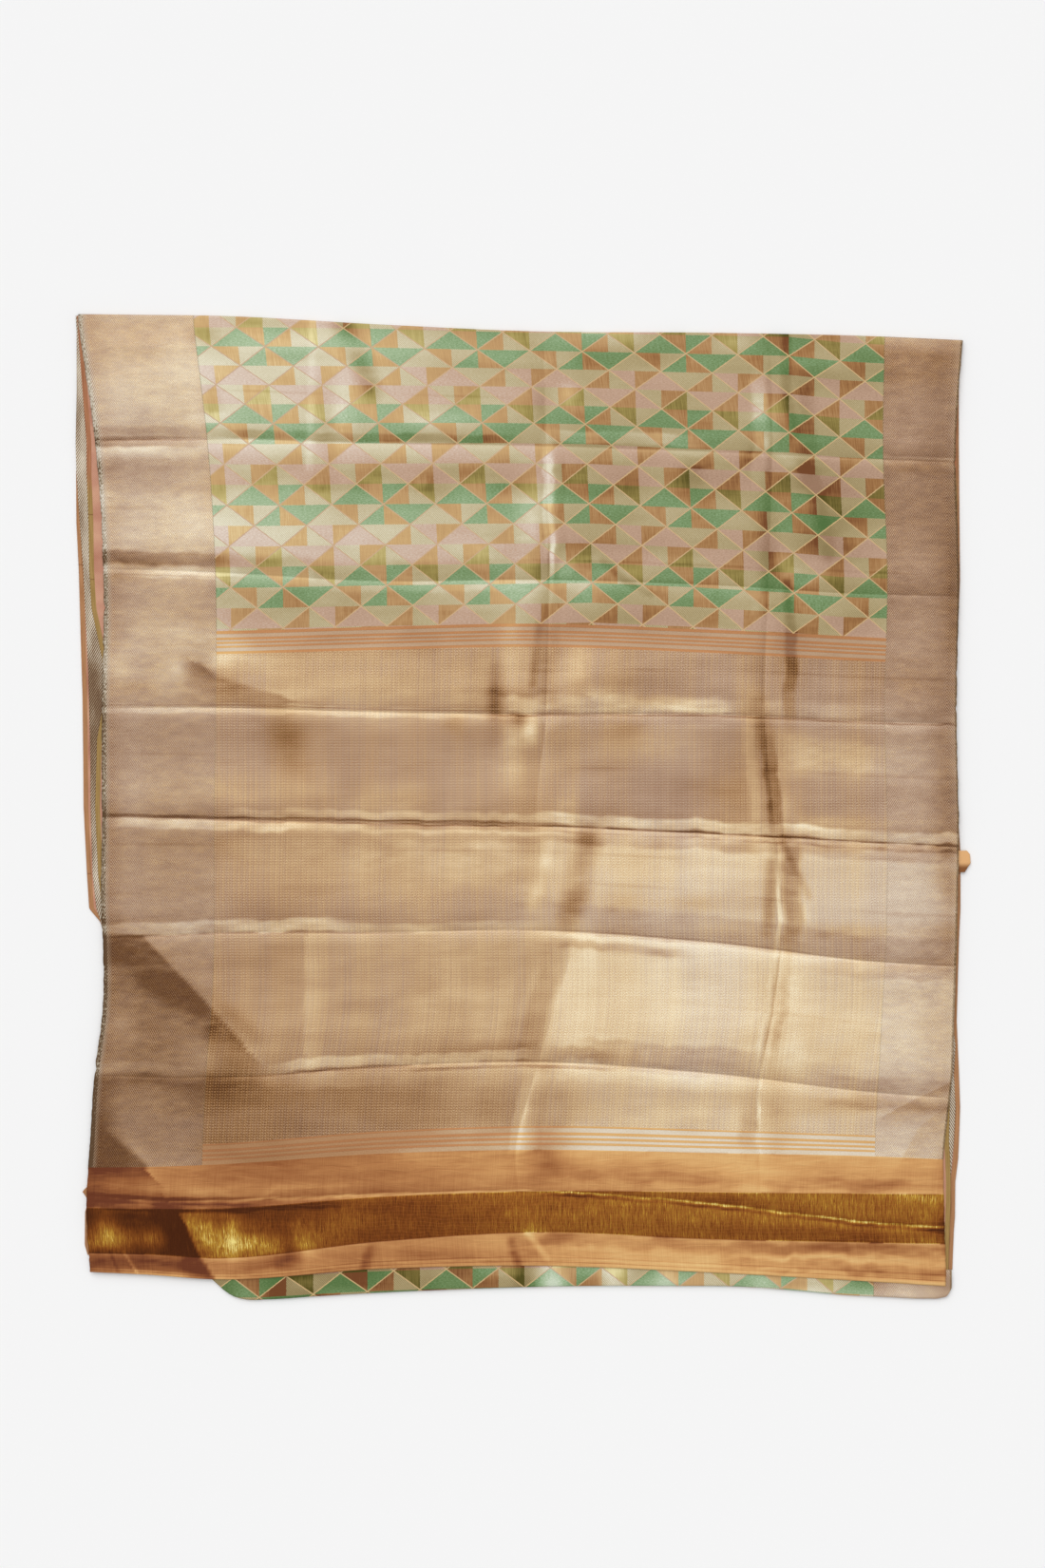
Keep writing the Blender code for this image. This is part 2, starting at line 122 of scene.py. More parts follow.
def set_stops(ramp, stops):
    """Give a ramp its stops: a list of places and colours."""
    while len(ramp.elements) < len(stops):
        ramp.elements.new(1.0)
    for element, (place, colour) in zip(ramp.elements, stops):
        element.position = place
        element.color = (*colour[:3], 1.0)


class Finish:
    """A material under construction."""

    def __init__(self, name, roughness, metallic):
        self.material = bpy.data.materials.new(name)
        self.material.use_nodes = True
        self.tree = self.material.node_tree
        self.shader = self.tree.nodes["Principled BSDF"]
        self.shader.inputs["Roughness"].default_value = roughness
        self.shader.inputs["Metallic"].default_value = metallic
        self.shader.inputs["Specular IOR Level"].default_value = 0.12

    def put(self, socket, value):
        """Link a value to a socket, or set the socket to a number or a colour."""
        if isinstance(value, Value):
            self.tree.links.new(value.socket, socket)
        else:
            socket.default_value = value

    def node(self, kind, settings, inputs, output=0):
        """Add a node: its settings, its inputs, and the output that is wanted."""
        made = self.tree.nodes.new("ShaderNode" + kind)
        for key, setting in settings.items():
            if key == "stops":
                set_stops(made.color_ramp, setting)
            else:
                setattr(made, key, setting)
        for socket, value in inputs.items():
            self.put(made.inputs[socket], value)
        return Value(self, made.outputs[output])

    def ramp(self, value, stops):
        """A colour that runs through stops."""
        return self.node("ValToRGB", {"stops": stops}, {0: value})

    def blend(self, share, first, second):
        """A colour between two, by share."""
        return self.node("Mix", {"data_type": "RGBA"}, {0: share, 6: first, 7: second}, 2)

    def noise(self, vector, scale, detail=2.0, roughness=0.5, distortion=0.0):
        """Noise from 0 to 1 on a vector in millimetres, with this many swells a millimetre."""
        inputs = {"Vector": vector, "Scale": scale, "Detail": detail,
                  "Roughness": roughness, "Distortion": distortion}
        return self.node("TexNoise", {}, inputs)

    def stretched(self, vector, scale):
        """The same vector, scaled along each axis."""
        return self.node("Mapping", {}, {"Vector": vector, "Scale": scale})

    def attribute(self, name, output="Fac"):
        """A value kept in the mesh."""
        return self.node("Attribute", {"attribute_name": name}, {}, output)

    def coloured(self, colour):
        """Send a colour to the shader."""
        self.put(self.shader.inputs["Base Color"], colour)
        return self

    def embossed(self, height, distance):
        """Send a relief to the shader: its height from 0 to 1 and its depth in metres."""
        bump = self.node("Bump", {}, {"Strength": 1.0, "Distance": distance, "Height": height})
        self.put(self.shader.inputs["Normal"], bump)
        return self

    def on(self, piece):
        """Put the finished material on a piece."""
        piece.data.materials.append(self.material)
        return piece


def dye(red, green, blue):
    """A colour as paint makers give it, from 0 to 255, in linear light."""
    shares = [channel / 255.0 for channel in (red, green, blue)]
    linear = [s / 12.92 if s <= 0.04045 else ((s + 0.055) / 1.055) ** 2.4 for s in shares]
    return (*linear, 1.0)


table_mesh = bmesh.new()
bmesh.ops.create_grid(table_mesh, x_segments=1, y_segments=1, size=TABLE_SIZE / 2)
bmesh.ops.translate(table_mesh, vec=(0, 0, -TABLE_DEPTH), verts=table_mesh.verts[:])
table = new_piece("table_top", table_mesh)
paper = Finish("pale_paper", 0.9, 0.0)
paper.coloured(dye(243, 243, 243)).on(table)

# Soft studio light: a wide window behind the top fold, to the left, and an even ceiling.

Lamp = namedtuple("Lamp", "name strength spread tilt turn")
LAMPS = (
    Lamp("window_light", 1.32, 50, 48, 25),
    Lamp("ceiling_light", 0.95, 80, 8, 0),
)
ROOM_LIGHT = 0.44

for lamp in LAMPS:
    light = bpy.data.lights.new(lamp.name, "SUN")
    light.energy = lamp.strength
    light.angle = math.radians(lamp.spread)
    holder = bpy.data.objects.new(lamp.name, light)
    holder.rotation_euler = (-math.radians(lamp.tilt), 0.0, math.radians(lamp.turn))
    bpy.context.scene.collection.objects.link(holder)

room = bpy.data.worlds.new("studio")
room.use_nodes = True
room.node_tree.nodes["Background"].inputs["Color"].default_value = (1.0, 1.0, 1.0, 1.0)
room.node_tree.nodes["Background"].inputs["Strength"].default_value = ROOM_LIGHT
bpy.context.scene.world = room
bpy.context.scene.view_settings.view_transform = "Standard"

# The top layer as it lies: the whole loom width, from the top fold down to the free end.
# It is one cloth of silk with metal thread, and keeps the creases of its packet: seven
# across and two down. It is laid out once here, and then cut into its woven stretches.

PILE_EDGE_HEIGHT = 6.2
PUFF_HEIGHT = 1.5
HEM_OVERLAP = 25.0
SIDE_REST = 0.35
END_REST = 0.1
SIDE_EASE = 55.0
FOLD_EASE = 45.0
END_EASE = 45.0

# Lines across the cloth: their Y in millimetres at eight places from left to right
ACROSS = (-590, -505, -420, -190, 10, 250, 480, 590)
CROSS_LINES = {
    "top_fold": (663, 662, 661, 649, 640, 638, 633, 628),
    "crease_1": (493, 494, 494, 488, 485, 477, 467, 463),
    "crease_2": (319, 318, 315, 303, 305, 298, 285, 283),
    "field_end": (234, 235, 236, 242, 246, 238, 227, 221),
    "pallu_start": (204, 204, 205, 211, 215, 207, 195, 191),
    "crease_3": (132, 133, 133, 127, 124, 124, 114, 111),
    "crease_4": (-14, -15, -17, -22, -26, -36, -49, -54),
    "crease_5": (-177, -174, -170, -169, -166, -182, -209, -215),
    "crease_6": (-360, -363, -364, -349, -343, -358, -385, -393),
    "pallu_end": (-456, -455, -453, -436, -429, -434, -442, -445),
    "plain_start": (-485, -484, -481, -466, -461, -465, -470, -475),
    "crease_7": (-523, -529, -530, -522, -518, -534, -561, -567),
    "band_top": (-539, -540, -540, -524, -517, -518, -520, -521),
    "band_bottom": (-600, -602, -607, -584, -572, -581, -586, -588),
    "end_edge": (-625, -629, -635, -621, -617, -626, -639, -646),
}

# Lines down the cloth: their X in millimetres at twelve places from top to bottom
DOWN = (650, 490, 305, 122, -30, -137, -180, -270, -360, -470, -535, -630)
DOWN_LINES = {
    "left_edge": (-598, -575, -564, -566, -566, -567, -565, -565, -576, -583, -587, -582),
    "left_border": (-443, -424, -413, -413, -415, -415, -415, -419, -426, -431, -432, -432),
    "long_crease_1": (27, 31, 35, 31, 20, 45, 62, 42, 16, -10, -3, 8),
    "long_crease_2": (332, 335, 330, 325, 339, 348, 347, 336, 320, 318, 319, 326),
    "right_border": (487, 484, 490, 486, 490, 489, 488, 483, 478, 473, 473, 473),
    "right_edge": (593, 582, 586, 583, 586, 584, 583, 580, 577, 566, 566, 569),
}

# Creases across: a valley between two lips, with lip heights and widths in millimetres
# and the share of the height that the crease has at the left, in the middle and at the right
CrossCrease = namedtuple("CrossCrease", "line lip_above lip_below wide_above wide_below shares")
CROSS_CREASES = (
    CrossCrease("crease_1", 1.9, 1.2, 36, 18, (1.0, 0.8, 0.5)),
    CrossCrease("crease_2", 1.7, 0.9, 36, 22, (1.0, 0.8, 0.3)),
    CrossCrease("crease_3", 1.3, 1.5, 30, 18, (0.6, 1.2, 1.0)),
    CrossCrease("crease_4", 1.2, 1.5, 28, 20, (0.8, 1.0, 1.2)),
    CrossCrease("crease_5", 1.7, 1.2, 34, 18, (0.9, 0.9, 1.2)),
    CrossCrease("crease_6", 1.9, 1.4, 34, 20, (0.5, 1.0, 1.1)),
    CrossCrease("crease_7", 1.5, 1.1, 20, 16, (1.1, 0.6, 1.0)),
)
DownCrease = namedtuple("DownCrease", "line lip_left lip_right wide_left wide_right shares")
DOWN_CREASES = (
    DownCrease("long_crease_1", 0.9, 1.5, 36, 22,
               (0.1, 0.9, 1.0, 1.2, 0.5, 0.6, 0.6, 0.12, 0.5, 0.6, 0.2, 0.1)),
    DownCrease("long_crease_2", 1.1, 1.0, 22, 30,
               (0.3, 0.8, 0.6, 1.2, 0.9, 0.8, 0.7, 0.6, 0.6, 0.5, 0.2, 0.1)),
)
SLIT_DEPTH = 0.35
SLIT_WIDTH = 1.3

# Swells and dents: centre, half sizes, turn in degrees and rise, in millimetres
Swell = namedtuple("Swell", "name x y half_wide half_long turn rise")
SWELLS = (
    Swell("left border puff", -505, 575, 60, 60, 0, 1.8),
    Swell("left middle puff", -330, 400, 110, 55, 0, 1.6),
    Swell("dent left of middle", -42, 145, 15, 42, 0, -2.2),
    Swell("dent by left border", -430, 178, 17, 28, -20, -1.8),
    Swell("dent above crease 3", -312, 85, 18, 48, 12, -1.8),
    Swell("pinched puff", 96, 170, 28, 26, 30, 2.8),
    Swell("right middle puff", 215, -105, 130, 45, 0, 2.4),
    Swell("right lower puff", 235, -270, 140, 60, 0, 2.2),
    Swell("slanting fold ridge", -462, -250, 20, 85, 44, 3.4),
    Swell("slanting fold trough", -424, -282, 12, 70, 46, -2.4),
    Swell("lower left hollow", -545, -455, 50, 32, 0, -1.0),
    Swell("band pucker", 8, -590, 14, 30, 12, 2.2),
)

# Crumples that the weaver's packing left all over: cell sizes and height in millimetres
Crumple = namedtuple("Crumple", "wide long rise seed")
CRUMPLES = (
    Crumple(170, 62, 0.75, 3),
    Crumple(75, 20, 0.16, 8),
    Crumple(26, 8, 0.045, 21),
)
LIP_UNEVENNESS = 0.3
LIP_CELL = 70


def steadily(places, values, at):
    """A smooth line through values at places, read at other places."""
    places = np.asarray(places, float)
    values = np.asarray(values, float)
    if places[0] > places[-1]:
        places, values = places[::-1], values[::-1]
    slopes = np.gradient(values, places)
    at = np.clip(at, places[0], places[-1])
    i = np.clip(np.searchsorted(places, at) - 1, 0, len(places) - 2)
    step = places[i + 1] - places[i]
    t = (at - places[i]) / step
    rise = values[i + 1] - values[i]
    bend = slopes[i] * step
    bend_next = slopes[i + 1] * step
    return (values[i] + t * bend + t * t * (3 * rise - 2 * bend - bend_next)
            + t ** 3 * (bend + bend_next - 2 * rise))


def cross_line(name, x):
    return steadily(ACROSS, CROSS_LINES[name], x)


def down_line(name, y):
    return steadily(DOWN, DOWN_LINES[name], y)


def crumpled(x, y, wide, long, seed):
    """Smooth chance swells from -1 to 1, about one in each cell."""
    chances = np.random.RandomState(seed).uniform(-1.0, 1.0, (97, 97))
    u, v = np.asarray(x) / wide + 400.0, np.asarray(y) / long + 400.0
    i, j = np.floor(u).astype(int), np.floor(v).astype(int)
    s, t = u - i, v - j
    s, t = s * s * (3 - 2 * s), t * t * (3 - 2 * t)
    i, j, i_next, j_next = i % 97, j % 97, (i + 1) % 97, (j + 1) % 97
    low = chances[i, j] * (1 - s) + chances[i_next, j] * s
    high = chances[i, j_next] * (1 - s) + chances[i_next, j_next] * s
    return low * (1 - t) + high * t


def lip(distance, width):
    """A raised lip beside a crease: zero on the crease, 1 at one width from it."""
    t = np.maximum(distance, 0.0) / width
    return t * np.exp(1.0 - t)


def hill(x, y, centre_x, centre_y, half_wide, half_long, turn):
    """A round hill, 1 at its centre."""
    angle = math.radians(turn)
    dx, dy = x - centre_x, y - centre_y
    wide = (dx * math.cos(angle) + dy * math.sin(angle)) / half_wide
    long = (dy * math.cos(angle) - dx * math.sin(angle)) / half_long
    return np.exp(-0.5 * (wide * wide + long * long))


def ease(t):
    """Smooth rise from 0 to 1."""
    t = np.clip(t, 0.0, 1.0)
    return t * t * (3.0 - 2.0 * t)


def relief(x, y):
    """How far the top layer stands above the height of its edges, in millimetres."""
    height = np.full(np.shape(x), PUFF_HEIGHT)
    for number, crease in enumerate(CROSS_CREASES):
        below = cross_line(crease.line, x) - y
        share = np.interp(x, (-590, 0, 590), crease.shares)
        share = share * (1.0 + LIP_UNEVENNESS * crumpled(x, y * 0, LIP_CELL, 60, 40 + number))
        height += share * (crease.lip_above * lip(-below, crease.wide_above)
                           + crease.lip_below * lip(below, crease.wide_below)
                           - SLIT_DEPTH * np.exp(-abs(below) / SLIT_WIDTH))
    for number, crease in enumerate(DOWN_CREASES):
        right = x - down_line(crease.line, y)
        share = steadily(DOWN, crease.shares, y)
        share = share * (1.0 + LIP_UNEVENNESS * crumpled(x * 0, y, 60, LIP_CELL, 60 + number))
        height += share * (crease.lip_left * lip(-right, crease.wide_left)
                           + crease.lip_right * lip(right, crease.wide_right))
    for swell in SWELLS:
        height += swell.rise * hill(x, y, *swell[1:6])
    for crumple in CRUMPLES:
        height += crumple.rise * crumpled(x, y, crumple.wide, crumple.long, crumple.seed)
    return np.maximum(height, 0.0)


def top_height(x, y):
    """Height of the top layer's face: it lies down at its edges and folds."""
    from_side = np.minimum(x - down_line("left_edge", y), down_line("right_edge", y) - x)
    from_fold = cross_line("top_fold", x) - PILE_EDGE_HEIGHT / 2 - y
    from_end = y - cross_line("end_edge", x)
    side_share = SIDE_REST + (1.0 - SIDE_REST) * ease(from_side / SIDE_EASE)
    end_share = END_REST + (1.0 - END_REST) * ease((from_end - HEM_OVERLAP) / END_EASE)
    return PILE_EDGE_HEIGHT + relief(x, y) * side_share * end_share * ease(from_fold / FOLD_EASE)


# Painted light and shade: how bright the lustrous threads are painted, from 0 to 1. Each panel between two
# creases is painted brighter or darker for the way it leans: one shine at the left and one at the right,
# changing over around its middle.
Panel = namedtuple("Panel", "line left right middle change")
PANELS = (
    Panel("top_fold", 0.70, 0.38, -120, 500),
    Panel("crease_1", 0.66, 0.36, -120, 500),
    Panel("crease_2", 0.52, 0.40, -60, 420),
    Panel("pallu_start", 0.51, 0.43, -60, 420),
    Panel("crease_3", 0.46, 0.43, 20, 300),
    Panel("crease_4", 0.45, 0.76, 20, 180),
    Panel("crease_5", 0.46, 0.82, 30, 120),
    Panel("crease_6", 0.33, 0.74, -60, 380),
    Panel("plain_start", 0.34, 0.62, -60, 420),
    Panel("band_top", 0.14, 0.44, -60, 420),
    Panel("band_bottom", 0.40, 0.76, -40, 560),
)
# Painted light and shade from the relief's own tilt, and painted shade near the two edges
SHINE_OF_TILT = 0.12
TILT_AT_FULL_SHINE = 0.08
TILT_REACH = 0.8
SIDE_TILT_SHARE = 0.45
SHADE_OF_EDGES = (0.11, 0.06)
# How much warmer the gold gets down the cloth, by the distance below its middle
WARMTH_DOWN = (
    (-200, 0.0), (-120, -0.2), (0, -0.2), (40, 0.25), (110, 0.2), (150, -0.1), (190, 0.2),
    (300, 0.28), (345, 0.1), (380, 0.25), (430, 0.0),
)

# Painted light and shade in bands along each crease, where the bent cloth would shine or darken:
# where the band starts and stops, its two edges before and after the line, how soft they
# are, and how much brighter or darker it is painted
Band = namedtuple("Band", "start stop before after soft strength")
ALONG_CROSS_CREASES = {
    "crease_1": (
        Band(-620, -440, -16, -5, 3, -0.14), Band(-620, -440, -4, 3, 1.5, -0.22),
        Band(-620, -400, 0, 1.5, 0.6, -0.3), Band(-620, -440, 3, 10, 2, -0.24),
        Band(-620, -400, 3, 16, 5, 0.06), Band(-620, -440, 13, 27, 4, 0.14),
        Band(-620, -420, 22, 42, 6, -0.08), Band(-620, -440, 38, 72, 6, -0.1),
        Band(-440, -380, -34, -18, 4, 0.08), Band(-440, -380, 2, 8, 2, -0.1),
        Band(-420, -20, -13, -2, 3, -0.19), Band(-420, 420, -2.2, 0, 0.8, 0.08),
        Band(-420, 300, 3, 20, 5, 0.04), Band(-400, -20, 30, 66, 12, -0.14),
        Band(-20, 290, 30, 66, 12, -0.08), Band(40, 230, -22, -6, 3, 0.18),
        Band(150, 420, 4, 22, 4, -0.12), Band(470, 620, -5, -1, 1, 0.16),
        Band(470, 620, 3, 12, 4, 0.1),
    ),
    "crease_2": (
        Band(-620, -400, -26, -9, 3, -0.24), Band(-620, -400, -6, 8, 3, 0.16),
        Band(-620, -380, 5, 7, 1, -0.12), Band(-620, -500, 24, 54, 8, -0.06),
        Band(-420, -40, -24, -5, 6, -0.12), Band(-420, 60, 1, 15, 4, 0.08),
        Band(90, 480, 14, 60, 10, -0.07),
    ),
    "crease_3": (
        Band(-620, -20, -26, -9, 6, 0.06), Band(-620, 0, -6, 7, 2.5, 0.18),
        Band(-620, -20, -5, -3, 0.7, -0.22), Band(-40, 200, -24, -2, 6, 0.28),
        Band(-40, 600, 0, 3, 1, -0.28), Band(90, 480, 4, 14, 4, -0.06),
        Band(190, 480, -22, -2, 6, 0.14), Band(340, 620, 24, 80, 14, 0.1),
        Band(480, 620, -8, 0, 3, 0.1),
    ),
    "crease_4": (
        Band(-620, -380, -5, -1, 1, -0.3), Band(-560, -300, 1, 14, 3, 0.22),
        Band(-400, 20, -16, -6, 3, 0.18), Band(-400, -20, -5, -2.5, 0.8, -0.26),
        Band(-400, -20, 0, 2, 0.8, -0.26), Band(-400, 60, 4, 12, 3, 0.1),
        Band(-400, 60, 14, 24, 4, -0.06), Band(-200, 330, 0, 8, 1.5, -0.18),
        Band(25, 600, -18, -3, 3, 0.34), Band(40, 600, -2, 0.5, 1, -0.26),
        Band(40, 600, 6, 22, 4, -0.22), Band(320, 620, 0, 9, 1.5, -0.26),
    ),
    "crease_5": (
        Band(-620, -250, -18, -1, 3, 0.34), Band(-620, -150, 0, 2, 1, -0.14),
        Band(-250, 20, -12, 0, 3, 0.18), Band(40, 620, -36, -2, 6, -0.16),
        Band(40, 210, 12, 23, 4, -0.2), Band(50, 400, -3, 4, 2, -0.16),
        Band(400, 620, 0, 22, 4, -0.18),
    ),
    "crease_6": (
        Band(-620, -430, -18, -4, 5, 0.12), Band(-600, -360, 2, 30, 8, -0.06),
        Band(-560, -440, 12, 60, 10, 0.08), Band(-360, -150, -1, 2, 0.8, -0.18),
        Band(-330, 10, -16, -2, 3, 0.28), Band(-300, -150, 6, 26, 6, 0.12),
        Band(-150, 110, 4, 8, 1, -0.22), Band(20, 480, 4, 24, 6, 0.06),
        Band(50, 100, -20, -4, 4, -0.16), Band(60, 320, -6, 6, 3, -0.07),
        Band(84, 300, -34, -4, 5, -0.18), Band(300, 620, -34, -4, 5, -0.05),
        Band(310, 410, -6, 22, 6, -0.08), Band(410, 620, -20, 22, 6, -0.17),
    ),
    "crease_7": (
        Band(-620, -430, -15, -3, 5, -0.1), Band(-620, -380, -6, 5, 2, -0.26),
        Band(-620, -250, 1, 14, 3, -0.26), Band(-420, 60, -2.5, 0, 0.8, 0.3),
        Band(40, 620, -2.5, 0, 0.8, 0.5), Band(40, 620, 1, 5, 1.5, -0.25),
        Band(300, 620, -30, -3, 6, 0.08),
    ),
    "plain_start": (
        Band(0, 620, 14, 44, 10, -0.1), Band(60, 340, 26, 42, 6, -0.09),
        Band(340, 570, 32, 48, 6, -0.2),
    ),
    "band_bottom": (
        Band(-620, -300, 1, 20, 6, -0.16), Band(0, 620, 1, 18, 6, -0.22),
    ),
    "end_edge": (
        Band(280, 620, -24, -8, 4, -0.22),
    ),
}
# The same painted bands of light and shade beside the long creases, read downwards, with the edges to its
# left and right
ALONG_LONG_CREASES = {
    "long_crease_1": (
        Band(480, 330, 10, 22, 4, -0.08), Band(478, 350, -7, 7, 3, 0.26),
        Band(366, 304, -1, 1, 0.8, -0.3), Band(366, 290, 2, 8, 2, 0.26),
        Band(320, 200, 2, 16, 6, -0.12), Band(205, 130, 12, 60, 12, 0.06),
        Band(-176, -345, -60, 0, 10, -0.05), Band(-180, -230, 0, 30, 8, -0.05),
        Band(-200, -335, -36, -6, 8, -0.13), Band(-356, -460, -60, 0, 12, -0.06),
        Band(-366, -455, -12, 4, 2.5, 0.12), Band(-366, -455, 8, 30, 4, -0.08),
    ),
    "long_crease_2": (
        Band(575, 440, -28, -8, 6, 0.22), Band(572, 430, 34, 56, 9, -0.1),
        Band(300, 225, -20, -6, 6, 0.06), Band(215, 122, 24, 40, 4, -0.22),
        Band(120, -30, -30, -14, 6, 0.12), Band(84, -34, -6, 13, 4, -0.27),
        Band(-40, -180, 5, 28, 7, -0.3), Band(-90, -190, -6, 0, 1.6, 0.26),
        Band(-195, -340, -12, -5, 2, 0.1), Band(-195, -340, -2, 1, 1, -0.16),
        Band(-195, -345, 8, 18, 5, -0.12), Band(-365, -450, -3, 2, 1.4, 0.18),
        Band(-412, -450, -24, -4, 7, -0.18),
    ),
}
BAND_FADE = 60.0
BAND_WANDER = 3.4
BAND_SOFTENING = 1.6

# Faint bars where the weaver changed a spool: parallel to a crease and so far below it
WeftBar = namedtuple("WeftBar", "line start stop below")
WEFT_BARS = (
    WeftBar("crease_1", -620, 0, -66), WeftBar("crease_1", -620, -430, 91),
    WeftBar("crease_1", 0, 620, 152), WeftBar("crease_3", -620, -430, -86),
    WeftBar("crease_3", -620, -430, 62), WeftBar("crease_3", 0, 620, -60),
    WeftBar("crease_3", 0, 620, 72), WeftBar("crease_4", -620, 200, 34),
    WeftBar("crease_5", -620, -430, -60), WeftBar("crease_5", 0, 620, -68),
    WeftBar("crease_6", 0, 620, -92), WeftBar("crease_6", 0, 620, -40),
)
WEFT_BAR_WIDTH = 1.5
WEFT_BAR_SHADE = 0.10

# Painted strokes of light and shade of the slanting folds and of other folds and creases, along points
# in millimetres, fading over one width to the left of their way and another to the right
Stroke = namedtuple("Stroke", "name points left right strength")
STROKES = (
    Stroke("slanting fold", ((-600, -169), (-513, -175), (-497, -192), (-466, -225), (-433, -260),
                             (-378, -319)), 5, 54, -0.32),
    Stroke("darkest part of the slanting fold", ((-556, -200), (-500, -222), (-440, -272), (-418, -292)),
           16, 30, -0.20),
    Stroke("shade left of the lower crease", ((334, -75), (328, -170)), 13, 13, -0.20),
    Stroke("shade right of the lower crease", ((352, -55), (384, -120)), 9, 9, -0.14),
    Stroke("shade beside the body's end", ((22, 245), (13, 165)), 10, 10, -0.18),
    Stroke("dark lower corner", ((-600, -434), (-560, -447), (-529, -468), (-512, -484)), 12, 54, -0.32),
    Stroke("shade from the dimple to the third crease", ((-436, 190), (-415, 174), (-361, 155),
                                                         (-325, 147)), 7, 32, -0.26),
    Stroke("light strip between creases", ((-290, -176), (-293, -330)), 36, 5, 0.13),
    Stroke("light facet under the fourth crease", ((36, -50), (26, -92), (12, -132)), 14, 14, 0.10),
    Stroke("shade beside the facet", ((88, -40), (76, -105), (62, -150)), 28, 28, -0.30),
    Stroke("light wedge above the third crease", ((98, 148), (160, 137), (265, 128)), 26, 10, 0.28),
    Stroke("faint crease down the left of the body", ((-283, 665), (-285, 560), (-288, 455)), 10, 8, 0.15),
    Stroke("first facet of the right border", ((500, -408), (575, -372)), 3, 40, -0.16),
    Stroke("second facet of the right border", ((512, -470), (535, -430), (580, -398)), 3, 34, -0.07),
    Stroke("shade in the upper left of the field", ((-245, 655), (-218, 600), (-205, 560)),
           26, 26, -0.28),
    Stroke("wrinkle in the plain end", ((-352, -527), (-330, -512), (-240, -510)), 10, 3, 0.08),
    Stroke("shade in the band", ((-468, -543), (-453, -564), (-440, -598), (-414, -637)), 3, 44, -0.30),
    Stroke("first fold in the hem", ((-556, -598), (-545, -626)), 5, 2, -0.16),
    Stroke("second fold in the hem", ((-538, -598), (-520, -626)), 5, 2, 0.22),
    Stroke("dark stroke in the hem", ((-205, -592), (-215, -622)), 14, 10, -0.18),
    Stroke("pucker in the hem", ((6, -572), (32, -606)), 8, 8, 0.22),
    Stroke("shade left of the pucker", ((-16, -585), (-4, -624)), 10, 10, -0.26),
    Stroke("dark fold in the hem", ((-440, -604), (-418, -636)), 5, 34, -0.20),
    Stroke("shade beside the second long crease", ((388, 450), (400, 400), (412, 340)), 14, 18, -0.16),
    Stroke("shade at the body's end", ((355, 300), (361, 225)), 11, 11, -0.30),
    Stroke("shade right of the upper crease", ((354, 645), (354, 560), (366, 500)), 12, 12, -0.16),
    Stroke("slant under the second crease", ((108, 330), (138, 303), (172, 286)), 9, 9, -0.18),
)
